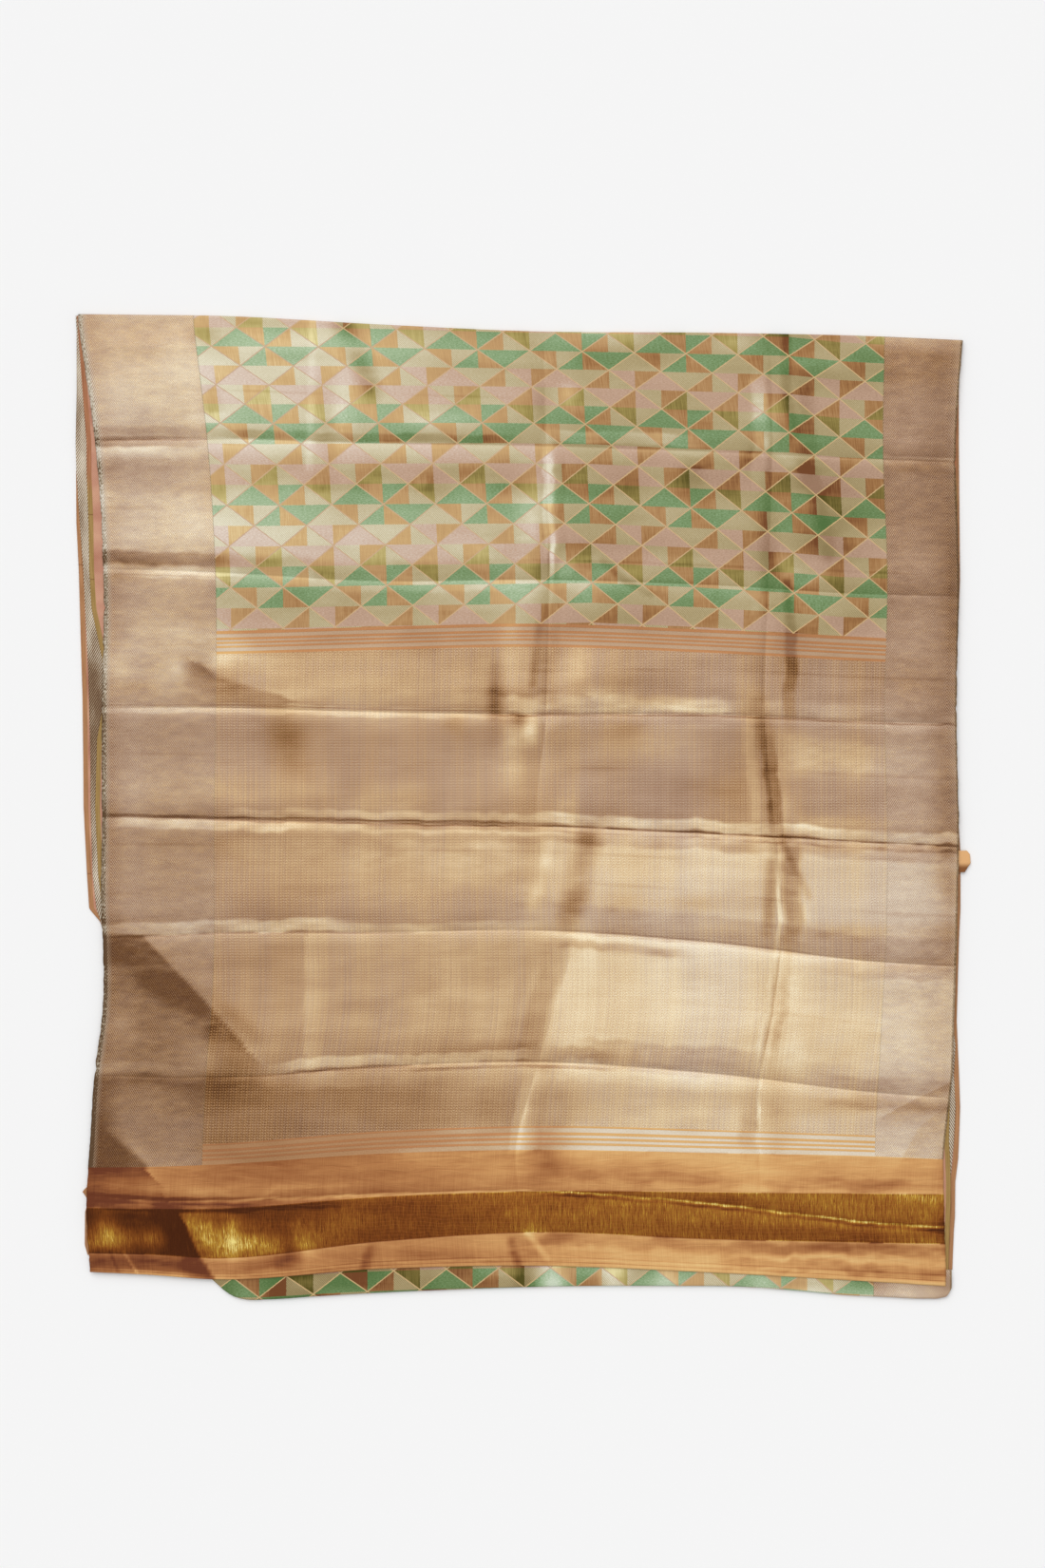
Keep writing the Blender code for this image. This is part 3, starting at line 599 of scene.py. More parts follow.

# Painted soft spots of light, glints among them, and of painted shade where the strength is below zero, on
# each panel from left to right: their places and half sizes in millimetres, and turn in degrees
Sheen = namedtuple("Sheen", "name x y half_wide half_long strength turn", defaults=(0,))
SHEENS = (
    # From the top fold to the first crease
    Sheen("left border, upper half", -510, 612, 76, 32, -0.08),
    Sheen("left border, slanting", -460, 560, 70, 40, 0.08, 20),
    Sheen("left border, by its join", -455, 560, 26, 60, 0.08),
    Sheen("left border, above the crease", -440, 525, 34, 12, 0.1),
    Sheen("under the top fold, left", -430, 642, 190, 16, -0.14),
    Sheen("left border's corner", -425, 634, 18, 10, -0.16),
    Sheen("left border's join", -418, 540, 12, 18, -0.16),
    Sheen("top fold's left corner", -370, 652, 18, 8, -0.2),
    Sheen("narrow shade, far left", -262, 520, 8, 40, -0.14),
    Sheen("narrow light, far left", -244, 528, 13, 26, 0.2),
    Sheen("above the crease", -110, 519, 40, 11, 0.16),
    Sheen("first long crease, top", 12, 622, 10, 12, -0.05),
    Sheen("left of the first long crease", 24, 540, 9, 16, -0.2),
    Sheen("right of the first long crease", 60, 555, 10, 14, 0.2),
    Sheen("top fold, middle", 80, 636, 36, 12, 0.16),
    Sheen("under the top fold, middle", 90, 600, 120, 16, -0.1),
    Sheen("top fold, right of the middle", 136, 634, 30, 12, 0.18),
    Sheen("upper half, right of the middle", 210, 610, 110, 22, -0.08),
    Sheen("top fold, before the second long crease", 285, 628, 22, 14, 0.18),
    Sheen("left of the second long crease", 324, 516, 11, 18, 0.18),
    Sheen("second long crease, top", 360, 622, 12, 12, 0.06),
    Sheen("field's upper right", 380, 600, 60, 40, -0.14),
    Sheen("top fold at the right border", 520, 630, 60, 7, 0.18),
    Sheen("right border's corner", 525, 586, 50, 22, -0.1),
    Sheen("under the top fold at the right border", 540, 604, 50, 7, -0.12),
    Sheen("right edge", 590, 556, 9, 56, 0.22),
    # Between the first crease and the second
    Sheen("left edge", -564, 416, 14, 14, 0.22),
    Sheen("left border, low", -526, 322, 26, 12, -0.2),
    Sheen("left border, high", -460, 380, 40, 60, 0.06),
    Sheen("left border's join", -420, 372, 34, 22, 0.12),
    Sheen("shade of the left border's join", -412, 428, 15, 24, -0.14),
    Sheen("thin shade, low left", -345, 331, 34, 5, -0.14),
    Sheen("left panel", -310, 354, 76, 14, 0.09),
    Sheen("light, low left", -300, 322, 60, 10, 0.12),
    Sheen("field, upper left", -240, 440, 60, 40, -0.08),
    Sheen("left of the middle", -192, 358, 42, 24, 0.1),
    Sheen("small shade under the crease", -122, 424, 22, 12, -0.16),
    Sheen("slanting light under the crease", -70, 430, 34, 12, 0.12, 20),
    Sheen("left of the first long crease", -62, 340, 28, 13, 0.2),
    Sheen("around the first long crease", -50, 352, 46, 48, 0.07),
    Sheen("light of the first long crease", 14, 385, 18, 60, 0.24, -6),
    Sheen("knot of the first long crease", 30, 322, 13, 10, -0.18),
    Sheen("under the knot", 52, 318, 12, 12, 0.16),
    Sheen("middle, high", 70, 440, 34, 13, 0.12),
    Sheen("right of the knot", 84, 310, 20, 22, 0.13),
    Sheen("above the second crease", 130, 322, 110, 12, 0.1),
    Sheen("right panel", 200, 425, 34, 24, 0.1),
    Sheen("small shade, right", 228, 441, 12, 12, -0.2),
    Sheen("knot on the first crease", 316, 474, 11, 8, -0.26),
    Sheen("left of the second long crease", 330, 360, 9, 44, -0.2),
    Sheen("shade of the second knot", 336, 312, 11, 18, -0.18),
    Sheen("light of the second knot", 352, 330, 12, 14, 0.2),
    Sheen("second long crease, top", 356, 463, 16, 10, 0.22),
    Sheen("knot on the second crease", 375, 312, 26, 12, 0.2),
    Sheen("shade under the top knot", 382, 435, 30, 9, -0.16),
    Sheen("right of the second long crease", 410, 366, 16, 20, -0.16),
    Sheen("broad shade, right", 425, 380, 40, 50, -0.14),
    Sheen("under the first crease, right border", 525, 458, 34, 6, -0.18),
    # From the second crease to the pallu's start
    Sheen("left border", -480, 250, 60, 40, 0.12),
    Sheen("join of the left border", -415, 207, 16, 18, 0.14),
    Sheen("light above the dimple's shade", -390, 208, 50, 16, 0.24, -16),
    Sheen("field above the stripes", -240, 246, 120, 46, -0.12),
    Sheen("left of the first long crease", -18, 218, 14, 34, 0.16),
    Sheen("end of the first long crease", -6, 286, 22, 12, 0.14),
    Sheen("first long crease", 34, 236, 8, 66, -0.12),
    Sheen("right of the first long crease", 84, 292, 12, 14, 0.14),
    Sheen("second long crease", 353, 256, 14, 34, -0.14),
    Sheen("right edge", 584, 275, 12, 75, -0.16),
    # From the pallu's start to the third crease
    Sheen("left edge", -578, 133, 9, 13, -0.24),
    Sheen("light by the left edge", -550, 178, 14, 26, 0.16),
    Sheen("left border, low", -528, 158, 24, 9, -0.14),
    Sheen("left border", -470, 172, 50, 20, 0.12),
    Sheen("left of the dimple", -452, 184, 18, 14, 0.16),
    Sheen("dimple", -434, 178, 16, 24, -0.16, -15),
    Sheen("right of the dimple", -412, 164, 24, 22, -0.18),
    Sheen("right of the dimple, high", -375, 194, 40, 8, 0.1),
    Sheen("under the dimple", -334, 142, 22, 10, 0.2, -16),
    Sheen("under the pallu's start", -220, 205, 60, 12, 0.08),
    Sheen("first panel", -185, 166, 80, 12, 0.12),
    Sheen("left of the dent", -80, 150, 12, 44, 0.04),
    Sheen("light of the dent", -50, 165, 8, 44, 0.12),
    Sheen("dent", -38, 142, 10, 32, -0.36),
    Sheen("right of the dent", -14, 142, 22, 12, -0.2, 14),
    Sheen("knot right of the dent", 40, 145, 10, 7, -0.24),
    Sheen("puff", 66, 196, 12, 18, 0.12, -20),
    Sheen("light above the crease", 128, 131, 20, 6, 0.22),
    Sheen("light wedge", 130, 170, 18, 12, 0.14),
    Sheen("thin shade above the crease", 172, 143, 26, 5, -0.2),
    Sheen("above the crease, second long crease", 308, 150, 12, 12, 0.14),
    Sheen("second long crease", 308, 134, 10, 12, -0.16, -30),
    Sheen("right border", 530, 164, 40, 24, -0.1),
    Sheen("right edge", 586, 130, 9, 60, 0.08),
    # Between the third crease and the fourth
    Sheen("left edge, long shade", -576, 100, 12, 60, -0.12),
    Sheen("left edge, low", -562, -14, 14, 14, -0.2),
    Sheen("above the fourth crease, left", -440, 20, 90, 16, 0.08),
    Sheen("painted shade of the dimple", -312, 84, 16, 34, -0.18, 24),
    Sheen("above the fourth crease", -190, 12, 46, 14, 0.12),
    Sheen("small shade by the dent", -92, 113, 12, 8, -0.14),
    Sheen("bright wedge", -16, 82, 11, 36, 0.24),
    Sheen("top of the wedge", -14, 118, 14, 9, -0.2),
    Sheen("knot of the wedge", -4, 118, 9, 7, -0.25),
    Sheen("right end of the wedge", 10, 104, 8, 14, 0.34),
    Sheen("right of the wedge", 60, 84, 26, 30, 0.08),
    Sheen("first long crease, low", 60, 0, 12, 16, 0.2),
    Sheen("right of the wedge, high", 140, 100, 18, 12, -0.1),
    Sheen("right of the pinch", 170, 84, 50, 20, 0.12),
    Sheen("left of the second long crease, low", 290, 16, 34, 20, -0.08),
    Sheen("second long crease, high", 322, 104, 10, 26, -0.12),
    Sheen("second long crease on the fourth crease", 348, -26, 22, 6, -0.14),
    Sheen("second long crease, low", 350, 0, 14, 16, 0.12),
    Sheen("slanting light", 385, 68, 30, 12, 0.1, -20),
    Sheen("right panel", 420, 76, 70, 26, 0.1),
    Sheen("thin light above the fourth crease", 440, -22, 90, 6, 0.12),
    Sheen("right edge", 568, 50, 12, 50, -0.12),
    # Between the fourth crease and the fifth
    Sheen("over the slanting fold", -556, -160, 34, 9, -0.2),
    Sheen("left panel", -320, -50, 60, 12, 0.08),
    Sheen("light, left", -185, -66, 18, 20, 0.12),
    Sheen("golden middle", -105, -64, 130, 30, 0.2),
    Sheen("light, left of the middle", -55, -62, 26, 16, 0.12),
    Sheen("first long crease, high", 8, -52, 18, 22, -0.14),
    Sheen("facet's right side", 62, -104, 10, 36, -0.05),
    Sheen("light wedge of the turn", 66, -156, 17, 9, 0.26),
    Sheen("middle, high", 165, -75, 44, 24, -0.09),
    Sheen("middle, low", 190, -130, 70, 9, -0.13),
    Sheen("right of the middle, low", 265, -160, 40, 14, 0.14),
    Sheen("knot of the second long crease", 326, -55, 12, 10, 0.2),
    Sheen("second long crease", 350, -86, 14, 34, -0.14, 12),
    Sheen("right of the second long crease", 372, -146, 10, 18, 0.2),
    Sheen("dark gap under the fourth crease", 480, -55, 110, 5, -0.14),
    Sheen("right panel, low", 480, -168, 84, 8, -0.12),
    Sheen("right edge, high", 568, -90, 12, 60, -0.14),
    Sheen("right edge, low", 578, -140, 9, 60, -0.1),
    # Between the fifth crease and the sixth
    Sheen("left edge, light", -545, -292, 14, 10, 0.16),
    Sheen("left border", -530, -262, 60, 70, -0.16),
    Sheen("under the slanting fold, far left", -530, -336, 40, 18, 0.04),
    Sheen("left end of the slanting fold", -530, -206, 44, 14, -0.22, -14),
    Sheen("under the slanting fold", -490, -330, 46, 40, -0.09),
    Sheen("under the slanting fold, middle", -470, -292, 30, 26, -0.07),
    Sheen("under the slanting fold's end", -390, -330, 50, 14, 0.1),
    Sheen("shade in the slanting light", -380, -290, 26, 8, -0.14, -40),
    Sheen("golden middle", -105, -240, 110, 60, 0.15),
    Sheen("above the sixth crease, left", -45, -326, 50, 7, -0.1),
    Sheen("dark turn", 52, -186, 22, 12, -0.1),
    Sheen("right of the turn", 84, -196, 14, 22, 0.14),
    Sheen("above the sixth crease, middle light", 100, -318, 30, 10, 0.14),
    Sheen("right of the first long crease", 118, -260, 34, 60, -0.06),
    Sheen("above the sixth crease, middle shade", 135, -338, 26, 9, -0.1),
    Sheen("left of the second long crease", 340, -270, 12, 26, -0.14),
    Sheen("second long crease, low", 352, -338, 40, 14, 0.18),
    Sheen("second long crease, high", 362, -236, 14, 30, 0.12),
    Sheen("second long crease, narrow light", 366, -330, 10, 30, 0.1),
    Sheen("right panel", 460, -310, 105, 46, -0.08),
    Sheen("under the fifth crease, right", 480, -216, 60, 7, -0.14),
    # From the sixth crease to the plain strip
    Sheen("left edge, dark corner", -574, -452, 14, 36, -0.24),
    Sheen("left edge, above the stripes", -560, -470, 24, 44, -0.12, 20),
    Sheen("over the dark corner", -520, -480, 12, 34, 0.14, 24),
    Sheen("under the crease, left light", -470, -388, 90, 8, 0.08),
    Sheen("over the crease, left", -460, -366, 50, 10, -0.1),
    Sheen("over the crease by the border's join", -450, -368, 60, 8, -0.1),
    Sheen("under the crease, left shade", -400, -386, 80, 18, -0.16),
    Sheen("left panel", -400, -462, 60, 34, -0.09),
    Sheen("left of the middle", -80, -402, 90, 22, -0.08),
    Sheen("left of the first long crease", 8, -436, 12, 16, 0.14),
    Sheen("end of the pinch", 28, -350, 14, 7, -0.16),
    Sheen("first long crease, low", 30, -455, 18, 22, -0.2),
    Sheen("right of the first long crease", 52, -398, 16, 18, -0.1),
    Sheen("right panel", 210, -415, 110, 28, 0.06),
    Sheen("second long crease", 340, -425, 14, 40, -0.14),
    Sheen("under the crease, right", 455, -398, 80, 9, -0.12),
    Sheen("fold of the right border", 552, -393, 18, 8, 0.2),
    # The plain strip
    Sheen("over the first glint", -535, -553, 34, 8, -0.14),
    Sheen("fold of the strip", -430, -521, 120, 9, 0.14),
    Sheen("left, high", -370, -500, 100, 7, -0.04),
    Sheen("left", -300, -516, 90, 9, 0.02),
    Sheen("second stripes", -40, -486, 60, 9, -0.08),
    Sheen("middle", 95, -515, 90, 24, -0.09),
    Sheen("lower side", 150, -530, 330, 16, -0.07),
    Sheen("right of the middle", 320, -500, 34, 13, 0.2),
    Sheen("right", 500, -534, 36, 9, -0.18),
    Sheen("right end", 542, -522, 34, 12, 0.36),
    Sheen("right edge", 572, -500, 10, 70, -0.12),
    # The zari band
    Sheen("left edge's glint", -586, -588, 8, 12, 0.34),
    Sheen("first glint, top", -562, -566, 10, 16, 0.26),
    Sheen("first glint", -554, -585, 24, 14, 0.44),
    Sheen("small glint", -496, -584, 13, 13, 0.24),
    Sheen("second glint", -427, -574, 19, 30, 0.54, 22),
    Sheen("shade over the glints", -420, -541, 60, 8, -0.16),
    Sheen("third glint", -391, -578, 8, 22, 0.46, 4),
    Sheen("meeting the hem", -372, -599, 34, 7, 0.44),
    Sheen("between two glints", -368, -588, 13, 14, 0.26),
    Sheen("lower side", -340, -589, 50, 9, 0.28),
    Sheen("gap after the glints", -312, -592, 12, 14, -0.22),
    Sheen("narrow light", -304, -574, 6, 12, 0.14),
    Sheen("under the crease, left", -265, -570, 34, 20, 0.12),
    Sheen("left of the middle", -245, -562, 60, 20, 0.09),
    Sheen("middle", -150, -562, 150, 12, 0.05),
    Sheen("over the pucker", 12, -572, 12, 9, 0.3),
    Sheen("under the crease, right", 470, -569, 100, 7, -0.12),
    Sheen("last glint", 536, -584, 22, 5, 0.2),
    Sheen("right end", 577, -567, 12, 14, -0.3),
    # The hemmed end
    Sheen("left end, high", -530, -606, 96, 13, -0.24),
    Sheen("left end, low", -510, -636, 90, 9, 0.26),
    Sheen("by the glints", -290, -592, 10, 18, 0.2),
    Sheen("left of the middle", -130, -604, 130, 10, -0.08),
    Sheen("under the band", -50, -601, 250, 8, -0.09),
    Sheen("under the pucker", 5, -597, 15, 12, -0.14),
    Sheen("middle", 70, -609, 110, 8, -0.08),
    Sheen("right, low", 430, -628, 110, 7, -0.16),
    Sheen("right, high", 470, -592, 100, 5, -0.1),
    Sheen("right, under the band", 500, -588, 60, 10, -0.14),
    Sheen("right end", 530, -620, 50, 10, -0.18),
)


def panel_shine(x, y):
    """The shine of the panel that a place is on."""
    shine = 0.0
    for panel in PANELS:
        to_right = ease((x - panel.middle) / panel.change + 0.5)
        here = panel.left * (1.0 - to_right) + panel.right * to_right
        shine = np.where((y < cross_line(panel.line, x)) | (panel is PANELS[0]), here, shine)
    return shine


def band_share(band, along, off, wander):
    """How much of a band's light or shade is at a place, given its place along and off the line."""
    low, high = sorted((band.start, band.stop))
    ends = ease((along - low) / BAND_FADE + 0.5) * ease((high - along) / BAND_FADE + 0.5)
    off = off + wander * BAND_WANDER * min(1.0, band.soft / 4.0)
    soft = band.soft * BAND_SOFTENING
    edges = ease((off - band.before) / soft + 0.5) * ease((band.after - off) / soft + 0.5)
    return ends * edges


def stroke_share(stroke, x, y):
    """How much of a stroke's light or shade is at a place."""
    nearest = np.full(np.shape(x), 1e9)
    share = np.zeros(np.shape(x))
    for (ax, ay), (bx, by) in zip(stroke.points, stroke.points[1:]):
        run_x, run_y = bx - ax, by - ay
        t = np.clip(((x - ax) * run_x + (y - ay) * run_y) / (run_x ** 2 + run_y ** 2), 0.0, 1.0)
        off_x, off_y = x - ax - t * run_x, y - ay - t * run_y
        distance = np.hypot(off_x, off_y)
        to_left = run_x * off_y - run_y * off_x > 0
        here = ease(1.0 - distance / np.where(to_left, stroke.left, stroke.right))
        share = np.where(distance < nearest, here, share)
        nearest = np.minimum(distance, nearest)
    return share


def lustre(x, y):
    """How bright the lustrous threads are painted, and how warm, from 0 to 1.

    It is painted into the colour: shine from each panel's lean and the relief's tilt, the bands, strokes
    and spots of light and shade, the faint woven weft bars, and painted shade near the edges. Painted shade
    along a crossing crease is mauve, and painted shade of the other folds is golden brown.
    """
    tilt_along = (top_height(x, y + TILT_REACH) - top_height(x, y - TILT_REACH)) / (2 * TILT_REACH)
    tilt_across = (top_height(x + TILT_REACH, y) - top_height(x - TILT_REACH, y)) / (2 * TILT_REACH)
    tilt = SIDE_TILT_SHARE * tilt_across - tilt_along
    shine = panel_shine(x, y) + SHINE_OF_TILT * np.tanh(tilt / TILT_AT_FULL_SHINE)
    warmth = 0.5 + 0.3 * crumpled(x, y, 160, 130, 57) + 0.25 * crumpled(x, y, 44, 900, 58)
    warmth = warmth + np.interp(-y, *zip(*WARMTH_DOWN))
    wander = crumpled(x, y, 38, 300, 51) + 0.7 * crumpled(x, y, 13, 300, 52)
    patchy = 0.95 + 0.4 * crumpled(x, y, 46, 24, 59) + 0.2 * crumpled(x, y, 15, 5, 60)
    for line, bands in ALONG_CROSS_CREASES.items():
        off = cross_line(line, x) - y
        for band in bands:
            share = patchy * band_share(band, x, off, wander)
            shine = shine + band.strength * share
            warmth = warmth + (0.1 if band.strength > 0 else -0.2) * share
    for bar in WEFT_BARS:
        band = Band(bar.start, bar.stop, bar.below, bar.below + WEFT_BAR_WIDTH, 1.0, -WEFT_BAR_SHADE)
        shine = shine + band.strength * band_share(band, x, cross_line(bar.line, x) - y, 0.0)
    wander = crumpled(x, y, 300, 30, 53) + 0.7 * crumpled(x, y, 300, 11, 54)
    for line, bands in ALONG_LONG_CREASES.items():
        off = x - down_line(line, y)
        for band in bands:
            share = patchy * band_share(band, y, off, wander)
            shine = shine + band.strength * share
            warmth = warmth + 0.5 * share
    for stroke in STROKES:
        share = patchy * stroke_share(stroke, x, y)
        shine = shine + stroke.strength * share
        warmth = warmth + 0.5 * share
    for sheen in SHEENS:
        share = patchy * hill(x, y, sheen.x, sheen.y, sheen.half_wide, sheen.half_long, sheen.turn)
        shine = shine + sheen.strength * share
        warmth = warmth + 0.5 * share
    # Painted light and shade of small waves in the cloth
    painted_wave_sheen = (crumpled(x, y, 110, 60, 55) + 0.7 * crumpled(x, y, 46, 28, 61)
             + 0.4 * crumpled(x, y, 20, 12, 62))
    from_sides = (x - down_line("left_edge", y), down_line("right_edge", y) - x)
    for shade, from_side in zip(SHADE_OF_EDGES, from_sides):
        shine = shine - shade * ease(1.0 - from_side / SIDE_EASE)
    return np.clip(shine + 0.035 * painted_wave_sheen, 0.0, 1.0), np.clip(warmth, 0.0, 1.0)


# Rows and columns of the mesh between the lines that it follows, closer at the creases
CLOSER_AT_CREASE = 0.55
LEAST_ROW_STEP = 0.8
ROWS = (
    ("top_fold", 60, "last"), ("crease_1", 64, "both"), ("crease_2", 30, "first"),
    ("field_end", 14, "even"), ("pallu_start", 34, "last"), ("crease_3", 56, "both"),
    ("crease_4", 56, "both"), ("crease_5", 64, "both"), ("crease_6", 30, "first"),
    ("pallu_end", 14, "even"), ("plain_start", 30, "even"), ("band_top", 38, "even"),
    ("band_bottom", 28, "even"), ("end_edge", 0, "even"),
)
COLUMNS = (
    ("left_edge", 54, "even"), ("left_border", 140, "last"), ("long_crease_1", 104, "both"),
    ("long_crease_2", 54, "first"), ("right_border", 36, "even"), ("right_edge", 0, "even"),
)


def shares_between(count, closer):
    """Places of the mesh lines between two lines of the cloth, as shares of the way."""
    t = np.arange(count) / max(count, 1)
    if closer == "both":
        return t - CLOSER_AT_CREASE * np.sin(2 * math.pi * t) / (2 * math.pi)
    if closer == "first":
        return t - CLOSER_AT_CREASE * np.sin(math.pi * t) / math.pi
    if closer == "last":
        return t + CLOSER_AT_CREASE * np.sin(math.pi * t) / math.pi
    return t


def mesh_lines(table):
    """Each mesh line's first and last cloth line with the share between, and where each starts."""
    lines, starts = [], {}
    for (name, count, closer), (following, *_) in zip(table, table[1:]):
        starts[name] = len(lines)
        lines += [(name, following, share) for share in shares_between(count, closer)]
    last = table[-1][0]
    starts[last] = len(lines)
    return lines + [(last, last, 0.0)], starts


row_lines, row_at = mesh_lines(ROWS)
column_lines, column_at = mesh_lines(COLUMNS)


def laid_out():
    """X and Y of every point of the mesh, in millimetres."""
    x = np.tile(np.linspace(-590.0, 590.0, len(column_lines)), (len(row_lines), 1))
    for _ in range(4):
        y = np.array([cross_line(a, line) * (1 - s) + cross_line(b, line) * s
                      for (a, b, s), line in zip(row_lines, x)])
        x = np.array([down_line(a, line) * (1 - s) + down_line(b, line) * s
                      for (a, b, s), line in zip(column_lines, y.T)]).T
    top = cross_line("top_fold", x[0]) - PILE_EDGE_HEIGHT / 2
    first_rows = np.arange(row_at["crease_1"])[:, None]
    y[: len(first_rows)] = np.minimum(y[: len(first_rows)], top - LEAST_ROW_STEP * first_rows)
    return x, y


laid_x, laid_y = laid_out()

# The triangle design: its lines of points across the cloth, counted from the first line
# under the top fold, as Y in millimetres at nine places, and its columns between the borders
DESIGN_PLACES = (-443, -346, -203, -39, 93, 230, 358, 427, 487)
DESIGN_LINES = {
    0: (618.9, 618.6, 617.5, 614, 611.8, 608.9, 606.1, 599, 595.8),
    4: (516.1, 514.6, 515.8, 515.8, 513.8, 507.4, 503, 496.6, 494),
    14: (238.7, 239.7, 242.8, 245.1, 247.6, 242, 233.9, 228.5, 226.6),
}
DESIGN_COLUMNS = (-2.56, 26.3, -0.7)
ROW_HEIGHT = 26.5


def design_place(x, y):
    """Columns and rows of the triangle design at a place."""
    left, right = down_line("left_border", y), down_line("right_border", y)
    t = (x - left) / (right - left)
    first, width, bend = DESIGN_COLUMNS
    line_0, line_4, line_14 = [np.interp(x, DESIGN_PLACES, DESIGN_LINES[k]) for k in (0, 4, 14)]
    upper = 4.0 * (line_0 - y) / (line_0 - line_4)
    lower = 4.0 + 10.0 * (line_4 - y) / (line_4 - line_14)
    return first + width * t + bend * t * (1 - t), np.where(y > line_4, upper, lower)


class Cloth:
    """Points of a cloth in rows and columns, with what its threads need to know."""

    def __init__(self, **values):
        shape = np.shape(values["x"])
        self.values = {k: np.broadcast_to(v, shape).astype(float) for k, v in values.items()}

    def joined(self, other, axis, first):
        """This cloth with another one's rows or columns put before or after its own."""
        parts = [other.values, self.values] if first else [self.values, other.values]
        return Cloth(**{k: np.concatenate([p[k] for p in parts], axis=axis) for k in self.values})

    def cut(self, rows, columns):
        """A piece cut out of the cloth."""
        return Cloth(**{k: v[rows, columns] for k, v in self.values.items()})

    def moved(self, **values):
        """The same cloth with other values."""
        return Cloth(**{**self.values, **values})

    def sewn(self, name):
        """The cloth as a piece: a bmesh grid, laid where its points say."""
        across, along = self.values["x"].shape[1] - 1, self.values["x"].shape[0] - 1
        bm = bmesh.new()
        bmesh.ops.create_grid(bm, x_segments=across, y_segments=along, size=1.0)
        piece = new_piece(name, bm)
        mesh = piece.data
        flat = np.empty(len(mesh.vertices) * 3)
        mesh.vertices.foreach_get("co", flat)
        flat = flat.reshape(-1, 3)
        r = np.rint((1.0 - flat[:, 1]) / 2.0 * along).astype(int)
        c = np.rint((flat[:, 0] + 1.0) / 2.0 * across).astype(int)
        picked = {k: v[r, c] for k, v in self.values.items()}
        place = np.stack([picked.pop(k) for k in "xyz"], axis=1) * MM
        mesh.vertices.foreach_set("co", place.ravel())
        for key, values in picked.items():
            mesh.attributes.new(key, "FLOAT", "POINT").data.foreach_set("value", values)
        mesh.update()
        return piece


# The points past an edge: how far out each stands and how far down, in millimetres
TURNED_EDGE = ((0.35, 0.7), (-2.6, 1.1))
ROLL_STEPS = 12


def edge_turn(cloth, side):
    """Columns past an edge of the cloth, where its selvage turns down and under."""
    edge = cloth.cut(slice(None), slice(0, 1) if side < 0 else slice(-1, None))
    for out, drop in TURNED_EDGE:
        turned = edge.moved(x=edge.values["x"] + side * out, z=edge.values["z"] - drop)
        cloth = cloth.joined(turned, 1, side < 0)
    return cloth


def end_turn(cloth):
    """Rows past the free end, where the hem turns under."""
    edge = cloth.cut(slice(-1, None), slice(None))
    for out, drop in TURNED_EDGE:
        turned = edge.moved(y=edge.values["y"] - out, z=edge.values["z"] - drop)
        cloth = cloth.joined(turned, 0, False)
    return cloth


def roll_before(cloth):
    """Rows before the first, where the cloth rolls round the top fold to the underside."""
    radius = PILE_EDGE_HEIGHT / 2
    first = cloth.cut(slice(0, 1), slice(None))
    for step in range(ROLL_STEPS):
        turn = math.pi * (step + 1) / ROLL_STEPS
        rolled = first.moved(y=first.values["y"] + radius * math.sin(turn),
                             z=radius + radius * math.cos(turn),
                             along=first.values["along"] + radius * turn,
                             rows=first.values["rows"] - radius * turn / ROW_HEIGHT)
        cloth = cloth.joined(rolled, 0, True)
    return cloth


# Notches in the edges: -1 at the left or 1 at the right, and Y
EDGE_NOTCHES = ((-1, 389), (-1, 357), (-1, 268), (-1, 214), (-1, -352),
                (1, 463), (1, 180), (1, 132))
NOTCH_DEPTH = 1.6
NOTCH_HALF_WIDTH = 4.0
EDGE_UNEVENNESS = 0.45
WAVERING_COLUMNS = 3
# What the attribute called along has more than Y
ALONG_START = 650.0


def edge_wander(x, y):
    """How far an edge of the cloth strays at a place: a slight waver, and a few notches."""
    wander = EDGE_UNEVENNESS * (crumpled(x * 0, y, 1, 5.0, 71) + 0.8 * crumpled(x * 0, y, 1, 17.0, 72))
    for side, notch_y in EDGE_NOTCHES:
        depth = NOTCH_DEPTH * np.exp(-((y - notch_y) / NOTCH_HALF_WIDTH) ** 2)
        wander = wander - side * depth * (x * side > 0)
    return wander


laid_z = top_height(laid_x, laid_y)
laid_z[0] = PILE_EDGE_HEIGHT
for side_columns in (slice(0, WAVERING_COLUMNS), slice(-WAVERING_COLUMNS, None)):
    laid_x[:, side_columns] += edge_wander(laid_x[:, side_columns], laid_y[:, side_columns])
laid_columns, laid_rows = design_place(laid_x, laid_y)
laid_shine, laid_warmth = lustre(laid_x, laid_y)
top_layer = Cloth(
    x=laid_x, y=laid_y, z=laid_z, shine=laid_shine, warmth=laid_warmth,
    across=laid_x - down_line("left_edge", laid_y), along=laid_y + ALONG_START,
    from_right=down_line("right_edge", laid_y) - laid_x,
    from_join=np.minimum(abs(laid_x - down_line("left_border", laid_y)),
                         abs(laid_x - down_line("right_border", laid_y))),
    columns=laid_columns, rows=laid_rows,
    share=np.array([share for _, _, share in row_lines])[:, None])
top_layer = end_turn(roll_before(edge_turn(edge_turn(top_layer, -1), 1)))
COLUMN_OFFSET = len(TURNED_EDGE)
ROW_OFFSET = ROLL_STEPS


def laid_on(piece, nodes):
    """Hang a piece of cloth on the root body, and hide the parts of model.glb that it stands for."""
    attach(piece, "root")
    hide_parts(*nodes)
    return piece


def stretch(name, first, last, left, right, nodes):
    """One woven stretch of the top layer, between two lines across and two down."""
    top = 0 if first == "top_fold" else row_at[first] + ROW_OFFSET
    bottom = None if last == "end_edge" else row_at[last] + ROW_OFFSET + 1
    start = 0 if left == "left_edge" else column_at[left] + COLUMN_OFFSET
    stop = None if right == "right_edge" else column_at[right] + COLUMN_OFFSET + 1
    cloth = top_layer.cut(slice(top, bottom), slice(start, stop))
    cloth.values["share"][-1] = 1.0
    return laid_on(cloth.sewn(name), nodes)
